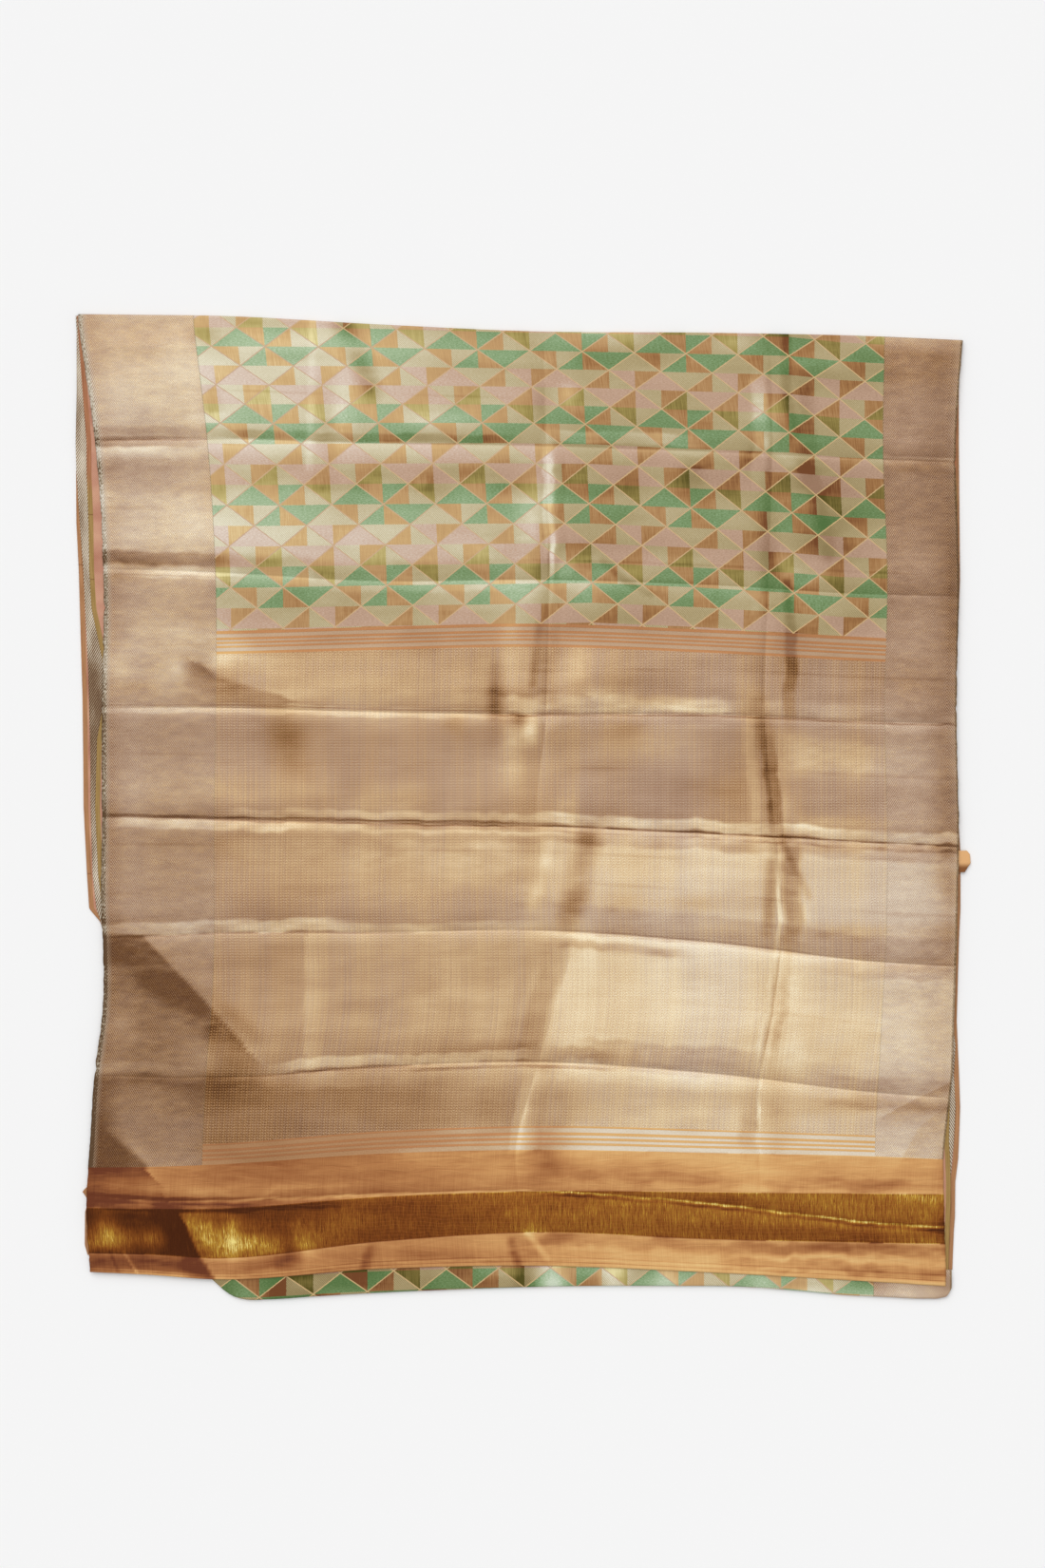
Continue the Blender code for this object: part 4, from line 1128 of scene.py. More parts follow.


# The body of the sari: a brocade of small triangles in five silks, outlined along the
# slanting lines only. Green, pink and pale silks lie flat and matt, orange and olive
# are long floats. All take painted light and shade from the shine attribute, the floats
# more strongly, where they would shine and darken as the cloth tilts.

GREEN, ORANGE, PALE, OLIVE, PINK = range(5)
# Each silk from its deepest painted shade to its brightest painted light, from 0 to 255
SILKS = {
    GREEN: ((78, 108, 58), (104, 128, 80), (125, 152, 108), (166, 186, 150), (204, 214, 192)),
    ORANGE: ((112, 66, 34), (156, 112, 68), (180, 141, 96), (201, 166, 115), (224, 198, 148)),
    PALE: ((136, 118, 78), (163, 145, 104), (181, 165, 126), (214, 206, 178), (238, 234, 216)),
    OLIVE: ((80, 72, 22), (124, 108, 54), (158, 141, 80), (192, 176, 116), (226, 214, 160)),
    PINK: ((150, 116, 92), (174, 142, 119), (189, 157, 134), (212, 193, 177), (234, 222, 210)),
}
SILK_STEPS = (0.04, 0.27, 0.45, 0.74, 0.98)

# The chart of the repeat: four rows of four triangles, each with its left and right half.
# A triangle stands on the column of its number. Rows go down the cloth.
CHART = (
    ((ORANGE, GREEN), (ORANGE, PALE), (OLIVE, PALE), (GREEN, GREEN)),
    ((GREEN, ORANGE), (GREEN, GREEN), (PALE, PALE), (ORANGE, PALE)),
    ((PALE, PALE), (ORANGE, PALE), (PINK, ORANGE), (PINK, PINK)),
    ((OLIVE, PALE), (PINK, PINK), (ORANGE, PINK), (PALE, ORANGE)),
)
OUTLINE_WIDTH = 0.034
JOIN_WIDTH = 0.7


def chart_stops():
    """The chart as steps of one ramp: for each cell its two halves, as a share for each silk."""
    stops = []
    for row in range(4):
        for column in range(4):
            for half in range(2):
                triangle = (column + half) % 4
                silk = CHART[row][triangle][1 - half]
                place = (row * 8 + column * 2 + half) / 32.0
                level = silk / 4.0
                stops.append((place, (level, level, level)))
    return stops


def brocade_finish(name):
    """The five silks of the design, where its columns and rows say, with painted light and shade from the
    shine attribute.
    """
    cloth = Finish(name, 0.5, 0.15)
    across, along = cloth.attribute("across"), cloth.attribute("along")
    shine = cloth.attribute("shine")
    threads = cloth.node("CombineXYZ", {}, {0: across, 1: along})
    wander = cloth.noise(threads, 0.35, 1.0) - 0.5
    u = cloth.attribute("columns") + wander * 0.035 + 40.0
    v = cloth.attribute("rows") + wander * 0.03 + 41.0
    column, row = u.math("FLOOR"), v.math("FLOOR")
    over, down = u - column, v - row
    points_up = (column + row) % 2.0
    slant = points_up * over + (1.0 - points_up) * (1.0 - over)
    right_half = points_up * (down > over) + (1.0 - points_up) * (down < 1.0 - over)
    cell = (row % 4.0) * 8.0 + (column % 4.0) * 2.0 + (1.0 - right_half)
    chart = cloth.node("ValToRGB", {"stops": chart_stops()}, {0: (cell + 0.5) / 32.0})
    chart.socket.node.color_ramp.interpolation = "CONSTANT"
    silk = chart * 4.0
    flecks = cloth.noise(cloth.stretched(threads, (0.3, 1.1, 1.0)), 1.0, 3.0, 0.7) - 0.5
    warp = cloth.noise(cloth.stretched(threads, (0.7, 0.03, 1.0)), 1.0, 3.0, 0.7) - 0.5
    wefts = cloth.noise(cloth.stretched(threads, (0.03, 0.3, 1.0)), 1.0, 2.0, 0.6) - 0.5
    hatch = ((across + along * 0.9) * 2.2).math("SINE")
    matt = {GREEN: 1.1 * flecks, PALE: 0.13 * hatch + 0.5 * flecks, PINK: 0.9 * flecks}
    # The floated silks take the painted shine more strongly than the matt ones
    floated = 0.45 + (shine - 0.45) * 1.35 + warp * 0.55 + wefts * 0.1
    colour = None
    for number, tones in SILKS.items():
        tone = shine + matt[number] if number in matt else floated
        dyed = cloth.ramp(tone, [(step, dye(*silk_tone)) for step, silk_tone in zip(SILK_STEPS, tones)])
        if colour is None:
            colour = dyed
        else:
            here = cloth.node("Math", {"operation": "COMPARE"}, {0: silk, 1: float(number), 2: 0.4})
            colour = cloth.blend(here, colour, dyed)
    outline = ((down - slant).math("ABSOLUTE") < OUTLINE_WIDTH)
    line_colour = cloth.ramp(shine, [(0.2, dye(204, 172, 122)), (0.75, dye(196, 164, 138))])
    colour = cloth.blend(outline * 0.9, colour, line_colour)
    join = cloth.attribute("from_join") < JOIN_WIDTH
    cloth.coloured(cloth.blend(join * 0.4, colour, dye(110, 104, 70)))
    ribs = (along * 4.2).math("SINE") * 0.25 + flecks * 0.5 + hatch * 0.25
    return cloth.embossed(ribs, 0.00012)


field = stretch("body_with_triangles", "top_fold", "field_end", "left_border", "right_border",
                ["field_stretch"])
brocade = brocade_finish("triangle_brocade")
brocade.on(field)

# The pallu: gold tissue, a silk warp with flat metal thread in the weft, in fine upright
# herringbone.

# The metal thread from its painted shade to its painted highlight, in gold and in mauve
GOLD_TONES = [(0.0, dye(86, 50, 18)), (0.2, dye(138, 96, 54)), (0.42, dye(172, 134, 97)),
              (0.6, dye(197, 163, 121)), (0.8, dye(221, 194, 152)), (1.0, dye(244, 230, 198))]
MAUVE_TONES = [(0.0, dye(88, 56, 36)), (0.2, dye(136, 100, 72)), (0.42, dye(166, 134, 110)),
               (0.6, dye(188, 161, 139)), (0.8, dye(211, 192, 169)), (1.0, dye(236, 226, 210))]
HERRINGBONE_WIDTH = 7.1
HERRINGBONE_ROW = 3.7


def metal(cloth, tone, warmth):
    """The colour of metal thread, by its painted shine and how warm it is."""
    return cloth.blend(warmth, cloth.ramp(tone, MAUVE_TONES), cloth.ramp(tone, GOLD_TONES))


def tissue_finish(name):
    """Gold tissue in herringbone, with painted light and shade from the shine attribute."""
    cloth = Finish(name, 0.42, 0.35)
    across, along = cloth.attribute("across"), cloth.attribute("along")
    shine = cloth.attribute("shine")
    threads = cloth.node("CombineXYZ", {}, {0: across, 1: along})
    zigzag = across.math("PINGPONG", HERRINGBONE_WIDTH / 2)
    twill = ((zigzag * 1.1 + along) * (2 * math.pi / HERRINGBONE_ROW)).math("SINE")
    stripes = cloth.noise(cloth.stretched(threads, (0.42, 0.004, 1.0)), 1.0, 3.0, 0.65) - 0.5
    spools = cloth.noise(cloth.stretched(threads, (0.035, 0.002, 1.0)), 1.0, 2.0, 0.6) - 0.5
    grain = cloth.noise(cloth.stretched(threads, (0.8, 0.8, 1.0)), 1.0, 2.0, 0.7) - 0.5
    tints = cloth.noise(cloth.stretched(threads, (0.6, 0.4, 2.0)), 1.0, 2.0, 0.7) - 0.5
    rib = (across * (2 * math.pi / HERRINGBONE_WIDTH)).math("SINE")
    cords = (across * (4 * math.pi / HERRINGBONE_WIDTH)).math("SINE")
    rows = (along * (2 * math.pi / HERRINGBONE_ROW)).math("SINE")
    dots = (rows + 1.0) * (cords + 1.0) * 0.5 - 0.5
    weave = (dots * 0.4 + twill * 0.3 + rows * 0.12) * (0.3 - shine * 0.24)
    tone = shine + stripes * 0.17 + spools * 0.12 + grain * 0.9 + weave + rib * 0.02
    warmth = cloth.attribute("warmth") + stripes * 0.8 + spools * 1.4 + rib * 0.2 - twill * 0.15
    warmth = warmth + tints * 1.6
    colour = metal(cloth, tone, warmth)
    join = cloth.attribute("from_join") < JOIN_WIDTH
    cloth.coloured(cloth.blend(join * 0.2, colour, dye(110, 100, 80)))
    return cloth.embossed(twill * 0.5 + grain, 0.00018)


pallu = stretch("pallu", "pallu_start", "pallu_end", "left_border", "right_border",
                ["pallu_stretch"])
tissue_finish("pallu_tissue").on(pallu)

# The two borders: metal thread in a steep twill that turns back on itself beside the selvage.
# The selvage is a narrow edging of looped pale and brown threads.

TWILL_TURN = 13.0
TWILL_WIDTH = 2.7
TWILL_SLANT = 0.64


def border_finish(name, from_edge, selvage_width, silvery_share, looped_tones):
    """The borders' twill: it turns silvery towards the edge that from_edge measures from,
    and ends there in the selvage. Twill, silvery edge and selvage take painted light and shade from the
    shine attribute."""
    cloth = Finish(name, 0.42, 0.35)
    inward, along = cloth.attribute(from_edge), cloth.attribute("along")
    shine = cloth.attribute("shine")
    threads = cloth.node("CombineXYZ", {}, {0: inward, 1: along})
    zigzag = (inward - TWILL_TURN).math("ABSOLUTE")
    twill = ((zigzag + along * TWILL_SLANT) * (2 * math.pi / TWILL_WIDTH)).math("SINE")
    grain = cloth.noise(cloth.stretched(threads, (0.75, 0.75, 1.0)), 1.0, 3.0, 0.75) - 0.5
    wefts = cloth.noise(cloth.stretched(threads, (0.06, 0.3, 1.0)), 1.0, 4.0, 0.65) - 0.5
    tints = cloth.noise(cloth.stretched(threads, (0.4, 0.4, 2.0)), 1.0, 2.0, 0.7) - 0.5
    mottle = cloth.noise(cloth.stretched(threads, (0.05, 0.11, 1.0)), 1.0, 3.0, 0.6) - 0.5
    tone = shine + grain * 0.95 + wefts * 0.1 + mottle * 0.25 + twill * (0.22 - shine * 0.13)
    warmth = cloth.attribute("warmth") * 0.6 - 0.12 + mottle * 1.3 + tints * 1.6
    colour = metal(cloth, tone, warmth)
    turning = 1.0 - inward.between(TWILL_TURN - 8.0, TWILL_TURN)
    silvery = cloth.ramp(0.1 + shine * 0.7 + twill * 0.42 + grain * 0.9,
                         [(0.1, dye(116, 88, 64)), (0.5, dye(180, 162, 138)), (0.9, dye(230, 222, 208))])
    colour = cloth.blend(turning * silvery_share, colour, silvery)
    loops = cloth.noise(cloth.stretched(threads, (0.6, 0.3, 1.0)), 1.0, 2.0, 0.6)
    looped = cloth.ramp(loops * 1.3 + shine * 0.8 - 0.5, looped_tones)
    selvage = 1.0 - (inward + grain * 3.0).between(selvage_width - 0.7, selvage_width + 0.7)
    colour = cloth.blend(selvage, colour, looped)
    join = cloth.attribute("from_join") < JOIN_WIDTH
    cloth.coloured(cloth.blend(join * 0.25, colour, dye(110, 96, 66)))
    return cloth.embossed(twill * 0.5 + grain + loops * selvage, 0.0002)


left_twill = border_finish(
    "left_border_twill", "across", 5.6, 0.592,
    [(0.30, dye(92, 68, 46)), (0.46, dye(142, 124, 100)), (0.6, dye(184, 170, 150)),
     (0.95, dye(226, 218, 204))])
right_twill = border_finish(
    "right_border_twill", "from_right", 2.4, 0.048,
    [(0.3, dye(104, 78, 52)), (0.55, dye(148, 120, 88)), (0.9, dye(188, 166, 138))])
left_border = stretch("left_border_cloth", "top_fold", "plain_start", "left_edge", "left_border",
                      ["left_border"])
left_twill.on(left_border)
right_border = stretch("right_border_cloth", "top_fold", "plain_start", "right_border", "right_edge",
                       ["right_border"])
right_twill.on(right_border)

# The two groups of fine stripes, where the body and the pallu end: bars of orange silk
# between bars of silvery tissue, woven in.

FIRST_BARS = (0.131, 0.288, 0.393, 0.469, 0.558, 0.643, 0.727, 0.886)
SECOND_BARS = (0.077, 0.264, 0.385, 0.49, 0.596, 0.702, 0.798)


def stripe_finish(name, bars, silvery):
    """Bars of orange and of tissue; bars are where one ends and the next begins. Both take painted light
    and shade from the shine attribute.
    """
    cloth = Finish(name, 0.42, 0.3)
    across, along = cloth.attribute("across"), cloth.attribute("along")
    shine = cloth.attribute("shine")
    threads = cloth.node("CombineXYZ", {}, {0: across, 1: along})
    grain = cloth.noise(cloth.stretched(threads, (0.7, 0.4, 1.0)), 1.0, 3.0, 0.7) - 0.5
    stops = [(0.0, (1.0, 1.0, 1.0))]
    for number, place in enumerate(bars):
        orange_bar = float(number % 2)
        stops.append((place, (orange_bar, orange_bar, orange_bar)))
    bar = cloth.ramp(cloth.attribute("share") + grain * 0.02, stops)
    bar.socket.node.color_ramp.interpolation = "CONSTANT"
    tone = shine + grain * 0.35
    orange = cloth.ramp(tone, [(0.1, dye(140, 90, 56)), (0.5, dye(190, 134, 88)), (0.7, dye(212, 164, 104)),
                               (0.9, dye(228, 186, 124))])
    cloth.coloured(cloth.blend(bar, cloth.ramp(tone, silvery), orange))
    return cloth.embossed(bar * 0.6 + grain, 0.0002)


stripes_1 = stretch("first_stripes", "field_end", "pallu_start", "left_border", "right_border",
                    ["field_stripes"])
stripe_finish("first_stripes_cloth", FIRST_BARS,
              [(0.1, dye(138, 104, 80)), (0.5, dye(188, 158, 128)),
               (0.9, dye(222, 208, 186))]).on(stripes_1)
stripes_2 = stretch("second_stripes", "pallu_end", "plain_start", "left_border", "right_border",
                    ["pallu_stripes"])
stripe_finish("second_stripes_cloth", SECOND_BARS,
              [(0.1, dye(146, 104, 66)), (0.38, dye(178, 136, 98)), (0.55, dye(196, 168, 134)),
               (0.72, dye(214, 198, 174)), (0.9, dye(232, 224, 210))]).on(stripes_2)

# The plain end: orange silk shot with red, between the stripes and the zari band, and
# again below the band, where it ends in a narrow turned hem.

# The orange silk from its painted shade to its painted highlight
PLAIN_TONES = [(0.02, dye(104, 52, 28)), (0.22, dye(146, 88, 48)), (0.42, dye(181, 125, 75)),
               (0.6, dye(208, 156, 98)), (0.8, dye(226, 186, 124)), (1.0, dye(240, 212, 158))]
# Painted shade and light along the hem's fold lines: place, width and change of tone
HEM_LINES = ((0.74, 0.02, -0.14), (0.80, 0.03, 0.08), (0.88, 0.02, -0.20))


def plain_finish(name, lines=()):
    """Orange silk with fine upright lines, painted light and shade from the shine attribute and from its
    wrinkles, and painted shade and light along fold lines given by place, width and change of tone.
    """
    cloth = Finish(name, 0.45, 0.2)
    across, along = cloth.attribute("across"), cloth.attribute("along")
    shine = cloth.attribute("shine")
    share = cloth.attribute("share")
    threads = cloth.node("CombineXYZ", {}, {0: across, 1: along})
    warp = cloth.noise(cloth.stretched(threads, (0.75, 0.012, 1.0)), 1.0, 3.0, 0.7) - 0.5
    # The wrinkles are a bump and also painted light and shade in the tone
    wrinkle_relief_and_shade = cloth.noise(cloth.stretched(threads, (0.018, 0.16, 1.0)), 1.0, 3.0, 0.6, 1.2) - 0.5
    tone = shine + warp * 0.24 + wrinkle_relief_and_shade * 0.24
    for place, width, strength in lines:
        near = 1.0 - ((share - place).math("ABSOLUTE")).between(0.0, width)
        tone = tone + near * strength
    cloth.coloured(cloth.ramp(tone, PLAIN_TONES))
    return cloth.embossed(warp * 0.5 + wrinkle_relief_and_shade * 1.5, 0.0005)


plain = stretch("plain_end", "plain_start", "band_top", "left_edge", "right_edge",
                ["end_plain_strip"])
plain_finish("plain_orange_silk").on(plain)
hem = stretch("hem", "band_bottom", "end_edge", "left_edge", "right_edge",
              ["end_hem"])
plain_finish("hemmed_orange_silk", HEM_LINES).on(hem)

# The zari band: loose floats of gold thread along the cloth over rust silk. Their glints
# are painted in streaks, brighter where the painted shine is high.

# From the rust silk in painted shade to the painted glint of the gold
BAND_TONES = [(0.0, dye(74, 34, 10)), (0.2, dye(122, 64, 20)), (0.4, dye(153, 94, 34)),
              (0.56, dye(172, 122, 42)), (0.76, dye(208, 164, 62)), (1.0, dye(246, 226, 140))]


def float_finish(name):
    """Gold floats with a stitch of the rust silk showing in a line now and then; the floats' streaks are
    painted glints, stronger where the painted shine is high.
    """
    cloth = Finish(name, 0.35, 0.5)
    across, along = cloth.attribute("across"), cloth.attribute("along")
    threads = cloth.node("CombineXYZ", {}, {0: across, 1: along})
    floats = cloth.noise(cloth.stretched(threads, (0.85, 0.05, 1.0)), 1.0, 4.0, 0.8, 0.8) - 0.5
    wander = cloth.noise(cloth.stretched(threads, (0.03, 0.05, 1.0)), 1.0, 2.0)
    shine = cloth.attribute("shine")
    colour = cloth.ramp(shine + floats * (0.3 + shine * 3.8), BAND_TONES)
    weft_line = ((along + wander * 9.0) % 4.6) < 0.5
    weft_line = weft_line * (0.4 - shine * 0.4) * across.between(100.0, 560.0)
    cloth.coloured(cloth.blend(weft_line, colour, dye(190, 112, 62)))
    return cloth.embossed(floats + weft_line * 0.3, 0.0006)


band = stretch("zari_band", "band_top", "band_bottom", "left_edge", "right_edge",
               ["end_zari_band"])
float_finish("gold_floats").on(band)

# The three layers under the top one, each a whole width of the same cloth. Two lie with
# the reverse up, pink with a brown selvage. Between them is one that shows its silvery
# border. Their edges stand out a little past the top layer's, as Y and X in millimetres.

BOTTOM_LEFT = (
    (660, -600), (560, -598.5), (490, -600.5), (447, -601.6), (383, -601.2), (319, -598),
    (267, -596.5), (203, -594.7), (150, -593), (63, -592), (0, -591.5), (-90, -587), (-137, -584),
    (-155, -569), (-180, -561), (-280, -562), (-360, -572), (-470, -580), (-506, -583.5),
    (-513, -588), (-518, -593.5), (-524, -589), (-532, -585), (-545, -589.5), (-590, -590),
    (-604, -586), (-640, -579),
)
MIDDLE_LEFT = (
    (660, -602), (640, -600.6), (560, -600.4), (490, -602), (447, -600.8), (383, -596.5),
    (319, -591.7), (267, -589.3), (178, -584.8), (63, -582), (0, -581.8), (-90, -579.2),
    (-137, -574), (-155, -568), (-180, -558), (-280, -558), (-360, -568), (-470, -577),
    (-640, -575),
)
UPPER_LEFT = (
    (660, -600), (490, -587), (447, -586.9), (383, -584.3), (319, -583.5), (267, -580.3),
    (200, -566), (140, -564), (90, -573), (0, -575.4), (-90, -571.5), (-137, -566), (-180, -556),
    (-280, -556), (-360, -564), (-470, -573), (-640, -572),
)
BOTTOM_RIGHT = (
    (660, 590), (610, 588), (549, 586.8), (490, 586.8), (305, 588.5), (200, 584), (122, 582),
    (0, 585), (-60, 589), (-137, 589), (-180, 587), (-288, 584), (-360, 587), (-404, 588.5),
    (-449, 587), (-473, 586), (-505, 582), (-552, 581.5), (-572, 580), (-590, 579.3), (-640, 577.5),
)
MIDDLE_RIGHT = (
    (660, 585), (490, 579), (122, 577), (-180, 580), (-288, 578), (-321, 582), (-360, 580),
    (-404, 582), (-449, 580), (-473, 578), (-505, 575), (-640, 570),
)
UPPER_RIGHT = (
    (660, 587), (490, 583.5), (305, 585), (122, 580), (-30, 584), (-180, 584), (-288, 580),
    (-360, 575), (-449, 573), (-473, 574.5), (-505, 575.5), (-540, 575), (-590, 573), (-640, 572),
)
LAYER_ROWS = 420
FROM_EDGE = (0.0, 0.5, 1.2, 3.0, 6.5, 10.0, 16.0, 24.0, 40.0)
LAYER_COLUMNS = 10
FOLD_BEHIND = 22.0
INSIDE_TOP_FOLD = 2.2


def side_line(table, y):
    """X of a lower layer's edge."""
    places = sorted(table)
    return np.interp(y, [p for p, _ in places], [x for _, x in places])


def lower_layer(name, left, right, height_share):
    """One of the lower layers, whole, from the top fold to behind the lower one."""
    down = np.linspace(0.0, 1.0, LAYER_ROWS)[:, None]
    inner = np.linspace(0.0, 1.0, LAYER_COLUMNS + 2)[1:-1]
    fringe = np.array(FROM_EDGE)
    x_left, x_right = np.full_like(down, ACROSS[0]), np.full_like(down, ACROSS[-1])
    for _ in range(3):
        start, stop = x_left + FROM_EDGE[-1], x_right - FROM_EDGE[-1]
        middle = start + (stop - start) * inner
        x = np.concatenate([x_left + fringe, middle, x_right - fringe[::-1]], axis=1)
        top = cross_line("top_fold", x) - INSIDE_TOP_FOLD
        bottom = cross_line("end_edge", x) + FOLD_BEHIND
        y = top + (bottom - top) * down
        x_left, x_right = side_line(left, y[:, :1]), side_line(right, y[:, -1:])
    cloth = Cloth(x=x, y=y, z=(top_height(x, y) - 0.9) * height_share, shine=0.5,
                  across=x - side_line(left, y), along=y + ALONG_START,
                  from_right=side_line(right, y) - x, from_join=99.0, warmth=0.3)
    cloth = edge_turn(edge_turn(cloth, -1), 1)
    return laid_on(cloth.sewn(name), ["folded_layers"])


REVERSE_SELVAGE = 6.3
# Each selvage's deeper tone and its lighter one
OLIVE_SELVAGE = (dye(142, 112, 60), dye(174, 142, 88))
RED_SELVAGE = (dye(146, 92, 62), dye(184, 128, 92))
BROWN_SELVAGE = (dye(152, 106, 70), dye(188, 138, 96))
# Where the selvage changes over to its upper tones, and where the silvery edge lies deep and gets painted
# shade
UPPER_SELVAGE = (1060.0, 1110.0)
DEEP_EDGE_MIDDLE = 745.0
DEEP_EDGE_REACH = (70.0, 130.0)


def reverse_finish(name, selvage, upper_selvage, seams):
    """The back of the cloth: pink with a fine hatch, and its flat selvage with a few seams."""
    cloth = Finish(name, 0.6, 0.1)
    across, from_right = cloth.attribute("across"), cloth.attribute("from_right")
    along = cloth.attribute("along")
    inward = across.math("MINIMUM", from_right)
    threads = cloth.node("CombineXYZ", {}, {0: inward, 1: along})
    hatch = ((inward + along) * 2.4).math("SINE")
    grain = cloth.noise(cloth.stretched(threads, (0.6, 0.6, 1.0)), 1.0, 3.0, 0.7) - 0.5
    patches = cloth.noise(cloth.stretched(threads, (0.01, 0.02, 1.0)), 1.0, 2.0)
    pink = cloth.ramp(patches + hatch * 0.06 + grain * 0.2,
                      [(0.3, dye(174, 118, 96)), (0.52, dye(196, 144, 120)), (0.7, dye(214, 170, 138))])
    lines = cloth.noise(cloth.stretched(threads, (0.9, 0.02, 1.0)), 1.0, 2.0, 0.6)
    brown = cloth.ramp(lines + grain * 0.3, [(0.3, selvage[0]), (0.7, selvage[1])])
    upper_brown = cloth.ramp(lines + grain * 0.3, [(0.3, upper_selvage[0]), (0.7, upper_selvage[1])])
    brown = cloth.blend(along.between(*UPPER_SELVAGE), brown, upper_brown)
    for place in seams:
        seam = (along - place).math("ABSOLUTE") < 0.8
        brown = cloth.blend(seam * 0.5, brown, dye(100, 52, 26))
    on_selvage = 1.0 - inward.between(REVERSE_SELVAGE - 0.5, REVERSE_SELVAGE + 0.5)
    cloth.coloured(cloth.blend(on_selvage, pink, brown))
    return cloth.embossed(hatch * 0.4 + grain, 0.0002)


def silvery_edge_finish(name):
    """The face of the border, silvery and patchy, with painted shade where the edge lies deep."""
    cloth = Finish(name, 0.45, 0.3)
    inward = cloth.attribute("across").math("MINIMUM", cloth.attribute("from_right"))
    along = cloth.attribute("along")
    threads = cloth.node("CombineXYZ", {}, {0: inward, 1: along})
    twill = ((inward - along * 0.62) * (2 * math.pi / 2.9)).math("SINE")
    grain = cloth.noise(threads, 0.6, 3.0, 0.7) - 0.5
    patches = cloth.noise(cloth.stretched(threads, (0.05, 0.014, 1.0)), 1.0, 2.0) - 0.5
    painted_deep_shade = 1.0 - (along - DEEP_EDGE_MIDDLE).math("ABSOLUTE").between(*DEEP_EDGE_REACH)
    cloth.coloured(cloth.ramp(
        0.5 + twill * 0.4 + grain * 0.9 + patches * 1.2 - painted_deep_shade * 0.4,
        [(0.1, dye(98, 70, 48)), (0.5, dye(166, 144, 116)), (0.9, dye(222, 212, 194))]))
    return cloth.embossed(twill * 0.5 + grain, 0.00025)


under_top = lower_layer("layer_under_top", UPPER_LEFT, UPPER_RIGHT, 0.78)
reverse_finish("reverse_with_olive_selvage", OLIVE_SELVAGE, RED_SELVAGE, (1043, 956)).on(under_top)
face_up = lower_layer("layer_with_face_up", MIDDLE_LEFT, MIDDLE_RIGHT, 0.52)
silvery_edge_finish("silvery_edges").on(face_up)
bottom_layer = lower_layer("bottom_layer", BOTTOM_LEFT, BOTTOM_RIGHT, 0.26)
reverse_finish("reverse_with_brown_selvage", BROWN_SELVAGE, BROWN_SELVAGE, (976, 560)).on(bottom_layer)

# The fold of the lower layers that shows below the free end: one more row of the triangle
# design and the end of the right border, rolled round to the table.

LOWER_FOLD_HEIGHT = 4.4
# The fold's lower edge: X and Y
LOWER_FOLD_OUTLINE = (
    (-560, -617), (-480, -622), (-426, -630), (-413, -641), (-402, -651), (-389, -659), (-374, -663),
    (-344, -663), (-280, -659), (-193, -654), (-100, -650), (-13, -647), (90, -645), (190, -645),
    (294, -646), (365, -651), (431, -657), (490, -660), (545, -662), (563, -661), (573, -656), (577, -648),
)
# Where the design's points lie on the fold, and which of its columns stands at an X
FOLD_NODES = (
    (-355, -660), (-209, -652), (-67, -647.7), (72, -646.4), (280, -646.4), (347, -647.7),
    (414, -654), (472, -656.6),
)
FOLD_COLUMNS = ((-355.0, 0.0), (-209.3, 4.0), (-67.7, 8.0), (71.8, 12.0), (209.3, 16.0), (347.5, 20.0))
FOLD_START = -560.0
FOLD_BORDER_START = 472.0
FOLD_END = 577.0
FOLD_ROWS = 22
FOLD_ANGLES = 12
# Painted light and shade along the fold: X, half width and strength
FOLD_LIGHTS = (
    (-374, 16, 0.14), (-330, 18, -0.20), (-128, 16, -0.14), (2, 15, -0.34), (40, 18, 0.50),
    (122, 18, 0.40), (190, 18, 0.26), (320, 18, 0.18), (384, 26, 0.24), (510, 26, 0.20),
)


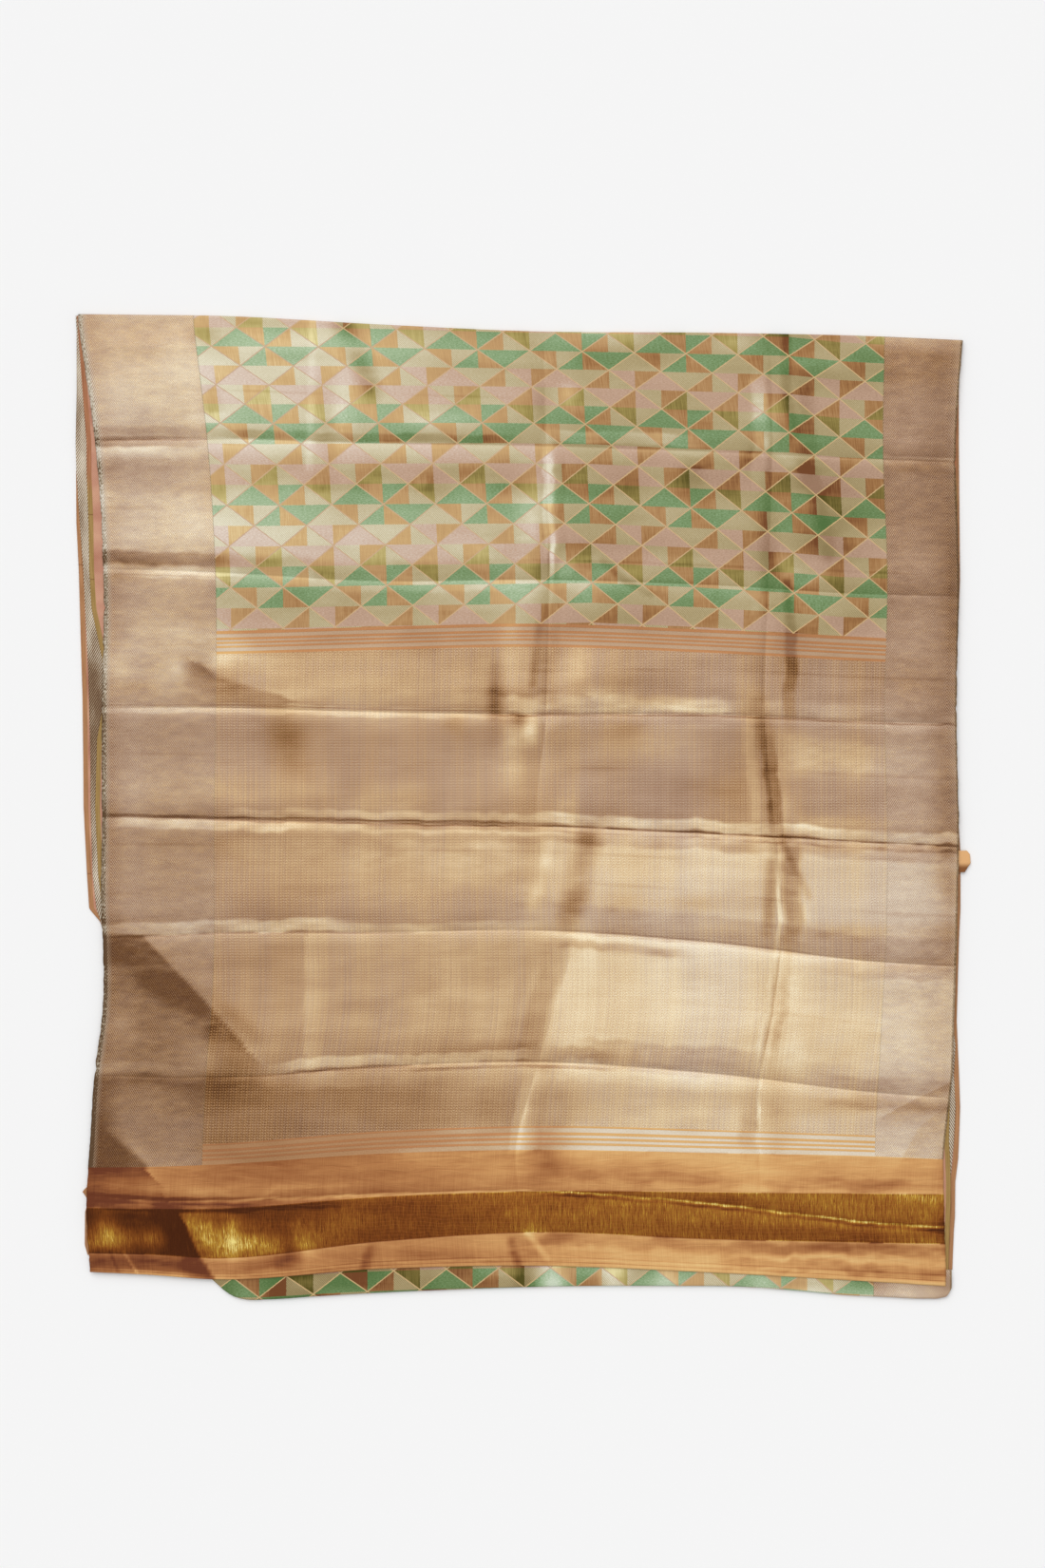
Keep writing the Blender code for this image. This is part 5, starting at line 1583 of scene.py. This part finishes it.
def lower_fold_cloth(start, stop, count):
    """Part of the fold, from under the hem round to the table."""
    radius = LOWER_FOLD_HEIGHT / 2
    x_line = np.linspace(start, stop, count)
    outline = steadily(*zip(*LOWER_FOLD_OUTLINE), x_line) + radius
    back = cross_line("end_edge", x_line) + FOLD_BEHIND
    x, y, z, run = [], [], [], []
    for share in np.linspace(1.0, 0.0, FOLD_ROWS):
        x.append(x_line)
        y.append(outline + (back - outline) * share)
        z.append(np.full(count, LOWER_FOLD_HEIGHT))
        run.append((back - outline) * share)
    for step in range(1, FOLD_ANGLES + 1):
        turn = math.pi * step / FOLD_ANGLES
        x.append(x_line)
        y.append(outline - radius * math.sin(turn))
        z.append(np.full(count, radius + radius * math.cos(turn)))
        run.append(np.full(count, -radius * turn))
    x, y, z, run = [np.array(v) for v in (x, y, z, run)]
    flat_y = outline + run
    node_y = steadily(*zip(*FOLD_NODES), x)
    (first_x, first_column), (last_x, last_column) = FOLD_COLUMNS[0], FOLD_COLUMNS[-1]
    slope = (last_column - first_column) / (last_x - first_x)
    columns = np.interp(x, *zip(*FOLD_COLUMNS))
    columns += (np.maximum(x - last_x, 0) + np.minimum(x - first_x, 0)) * slope
    # Painted shine of the fold: darker at the left, brighter to the right, and patchy
    shine = 0.18 + 0.30 * ease((x + 300) / 500) + 0.16 * crumpled(x, flat_y, 42, 16, 77)
    for place, width, strength in FOLD_LIGHTS:
        shine = shine + strength * np.exp(-((x - place) / width) ** 2)
    return Cloth(x=x, y=y, z=z, shine=shine, warmth=0.4, across=x + 580.0, along=flat_y + ALONG_START,
                 from_right=FOLD_END - x, from_join=abs(x - FOLD_BORDER_START),
                 columns=columns, rows=4.0 - (flat_y - node_y) / ROW_HEIGHT)


fold_body = laid_on(lower_fold_cloth(FOLD_START, FOLD_BORDER_START, 300).sewn("lower_fold_body"),
                    ["lower_fold"])
brocade.on(fold_body)
fold_border = laid_on(lower_fold_cloth(FOLD_BORDER_START, FOLD_END, 60).sewn("lower_fold_border"),
                      ["lower_fold"])
right_twill.on(fold_border)

# A small bit of a lower border that is folded out past the right edge: light orange with
# a brown tip.

TAB_START = 580.0
TAB_EDGE = 589.4
TAB_HEIGHT = 3.4
TAB_TIP = (567.0, 576.0)
# How far the tab reaches past its edge, by the distance below the middle of the cloth
TAB_REACH = ((59, 8.6), (64, 12.6), (76, 13.6), (80, 10.6), (88, 5.6))


def folded_tab():
    """The bit of cloth, from under the top layer, over its fold and down to the table."""
    y = np.linspace(-59.0, -88.0, 24)[:, None]
    reach = TAB_EDGE + np.interp(-y, *zip(*TAB_REACH))
    radius = TAB_HEIGHT / 2
    x, z = [], []
    for share in np.linspace(0.0, 1.0, 6):
        x.append(TAB_START + (reach - radius - TAB_START) * share)
        z.append(np.full_like(y, TAB_HEIGHT))
    for turn in np.linspace(0.0, math.pi, 9)[1:]:
        x.append(reach - radius + radius * math.sin(turn))
        z.append(np.full_like(y, radius + radius * math.cos(turn)))
    x, z = np.hstack(x), np.hstack(z)
    return Cloth(x=x, y=y, z=z, across=x - TAB_START, along=y + ALONG_START)


def tab_finish(name):
    """Light orange silk that turns brown at the lower tip."""
    cloth = Finish(name, 0.5, 0.1)
    tip = 1.0 - cloth.attribute("along").between(*TAB_TIP)
    grain = cloth.noise(cloth.node("TexCoord", {}, {}, "Object"), 900.0, 2.0)
    cloth.coloured(cloth.blend(tip, dye(222, 172, 118), dye(132, 84, 46)))
    return cloth.embossed(grain, 0.0002)


tab = laid_on(folded_tab().sewn("tab"), ["right_edge_tab"])
tab_finish("tab_silk").on(tab)
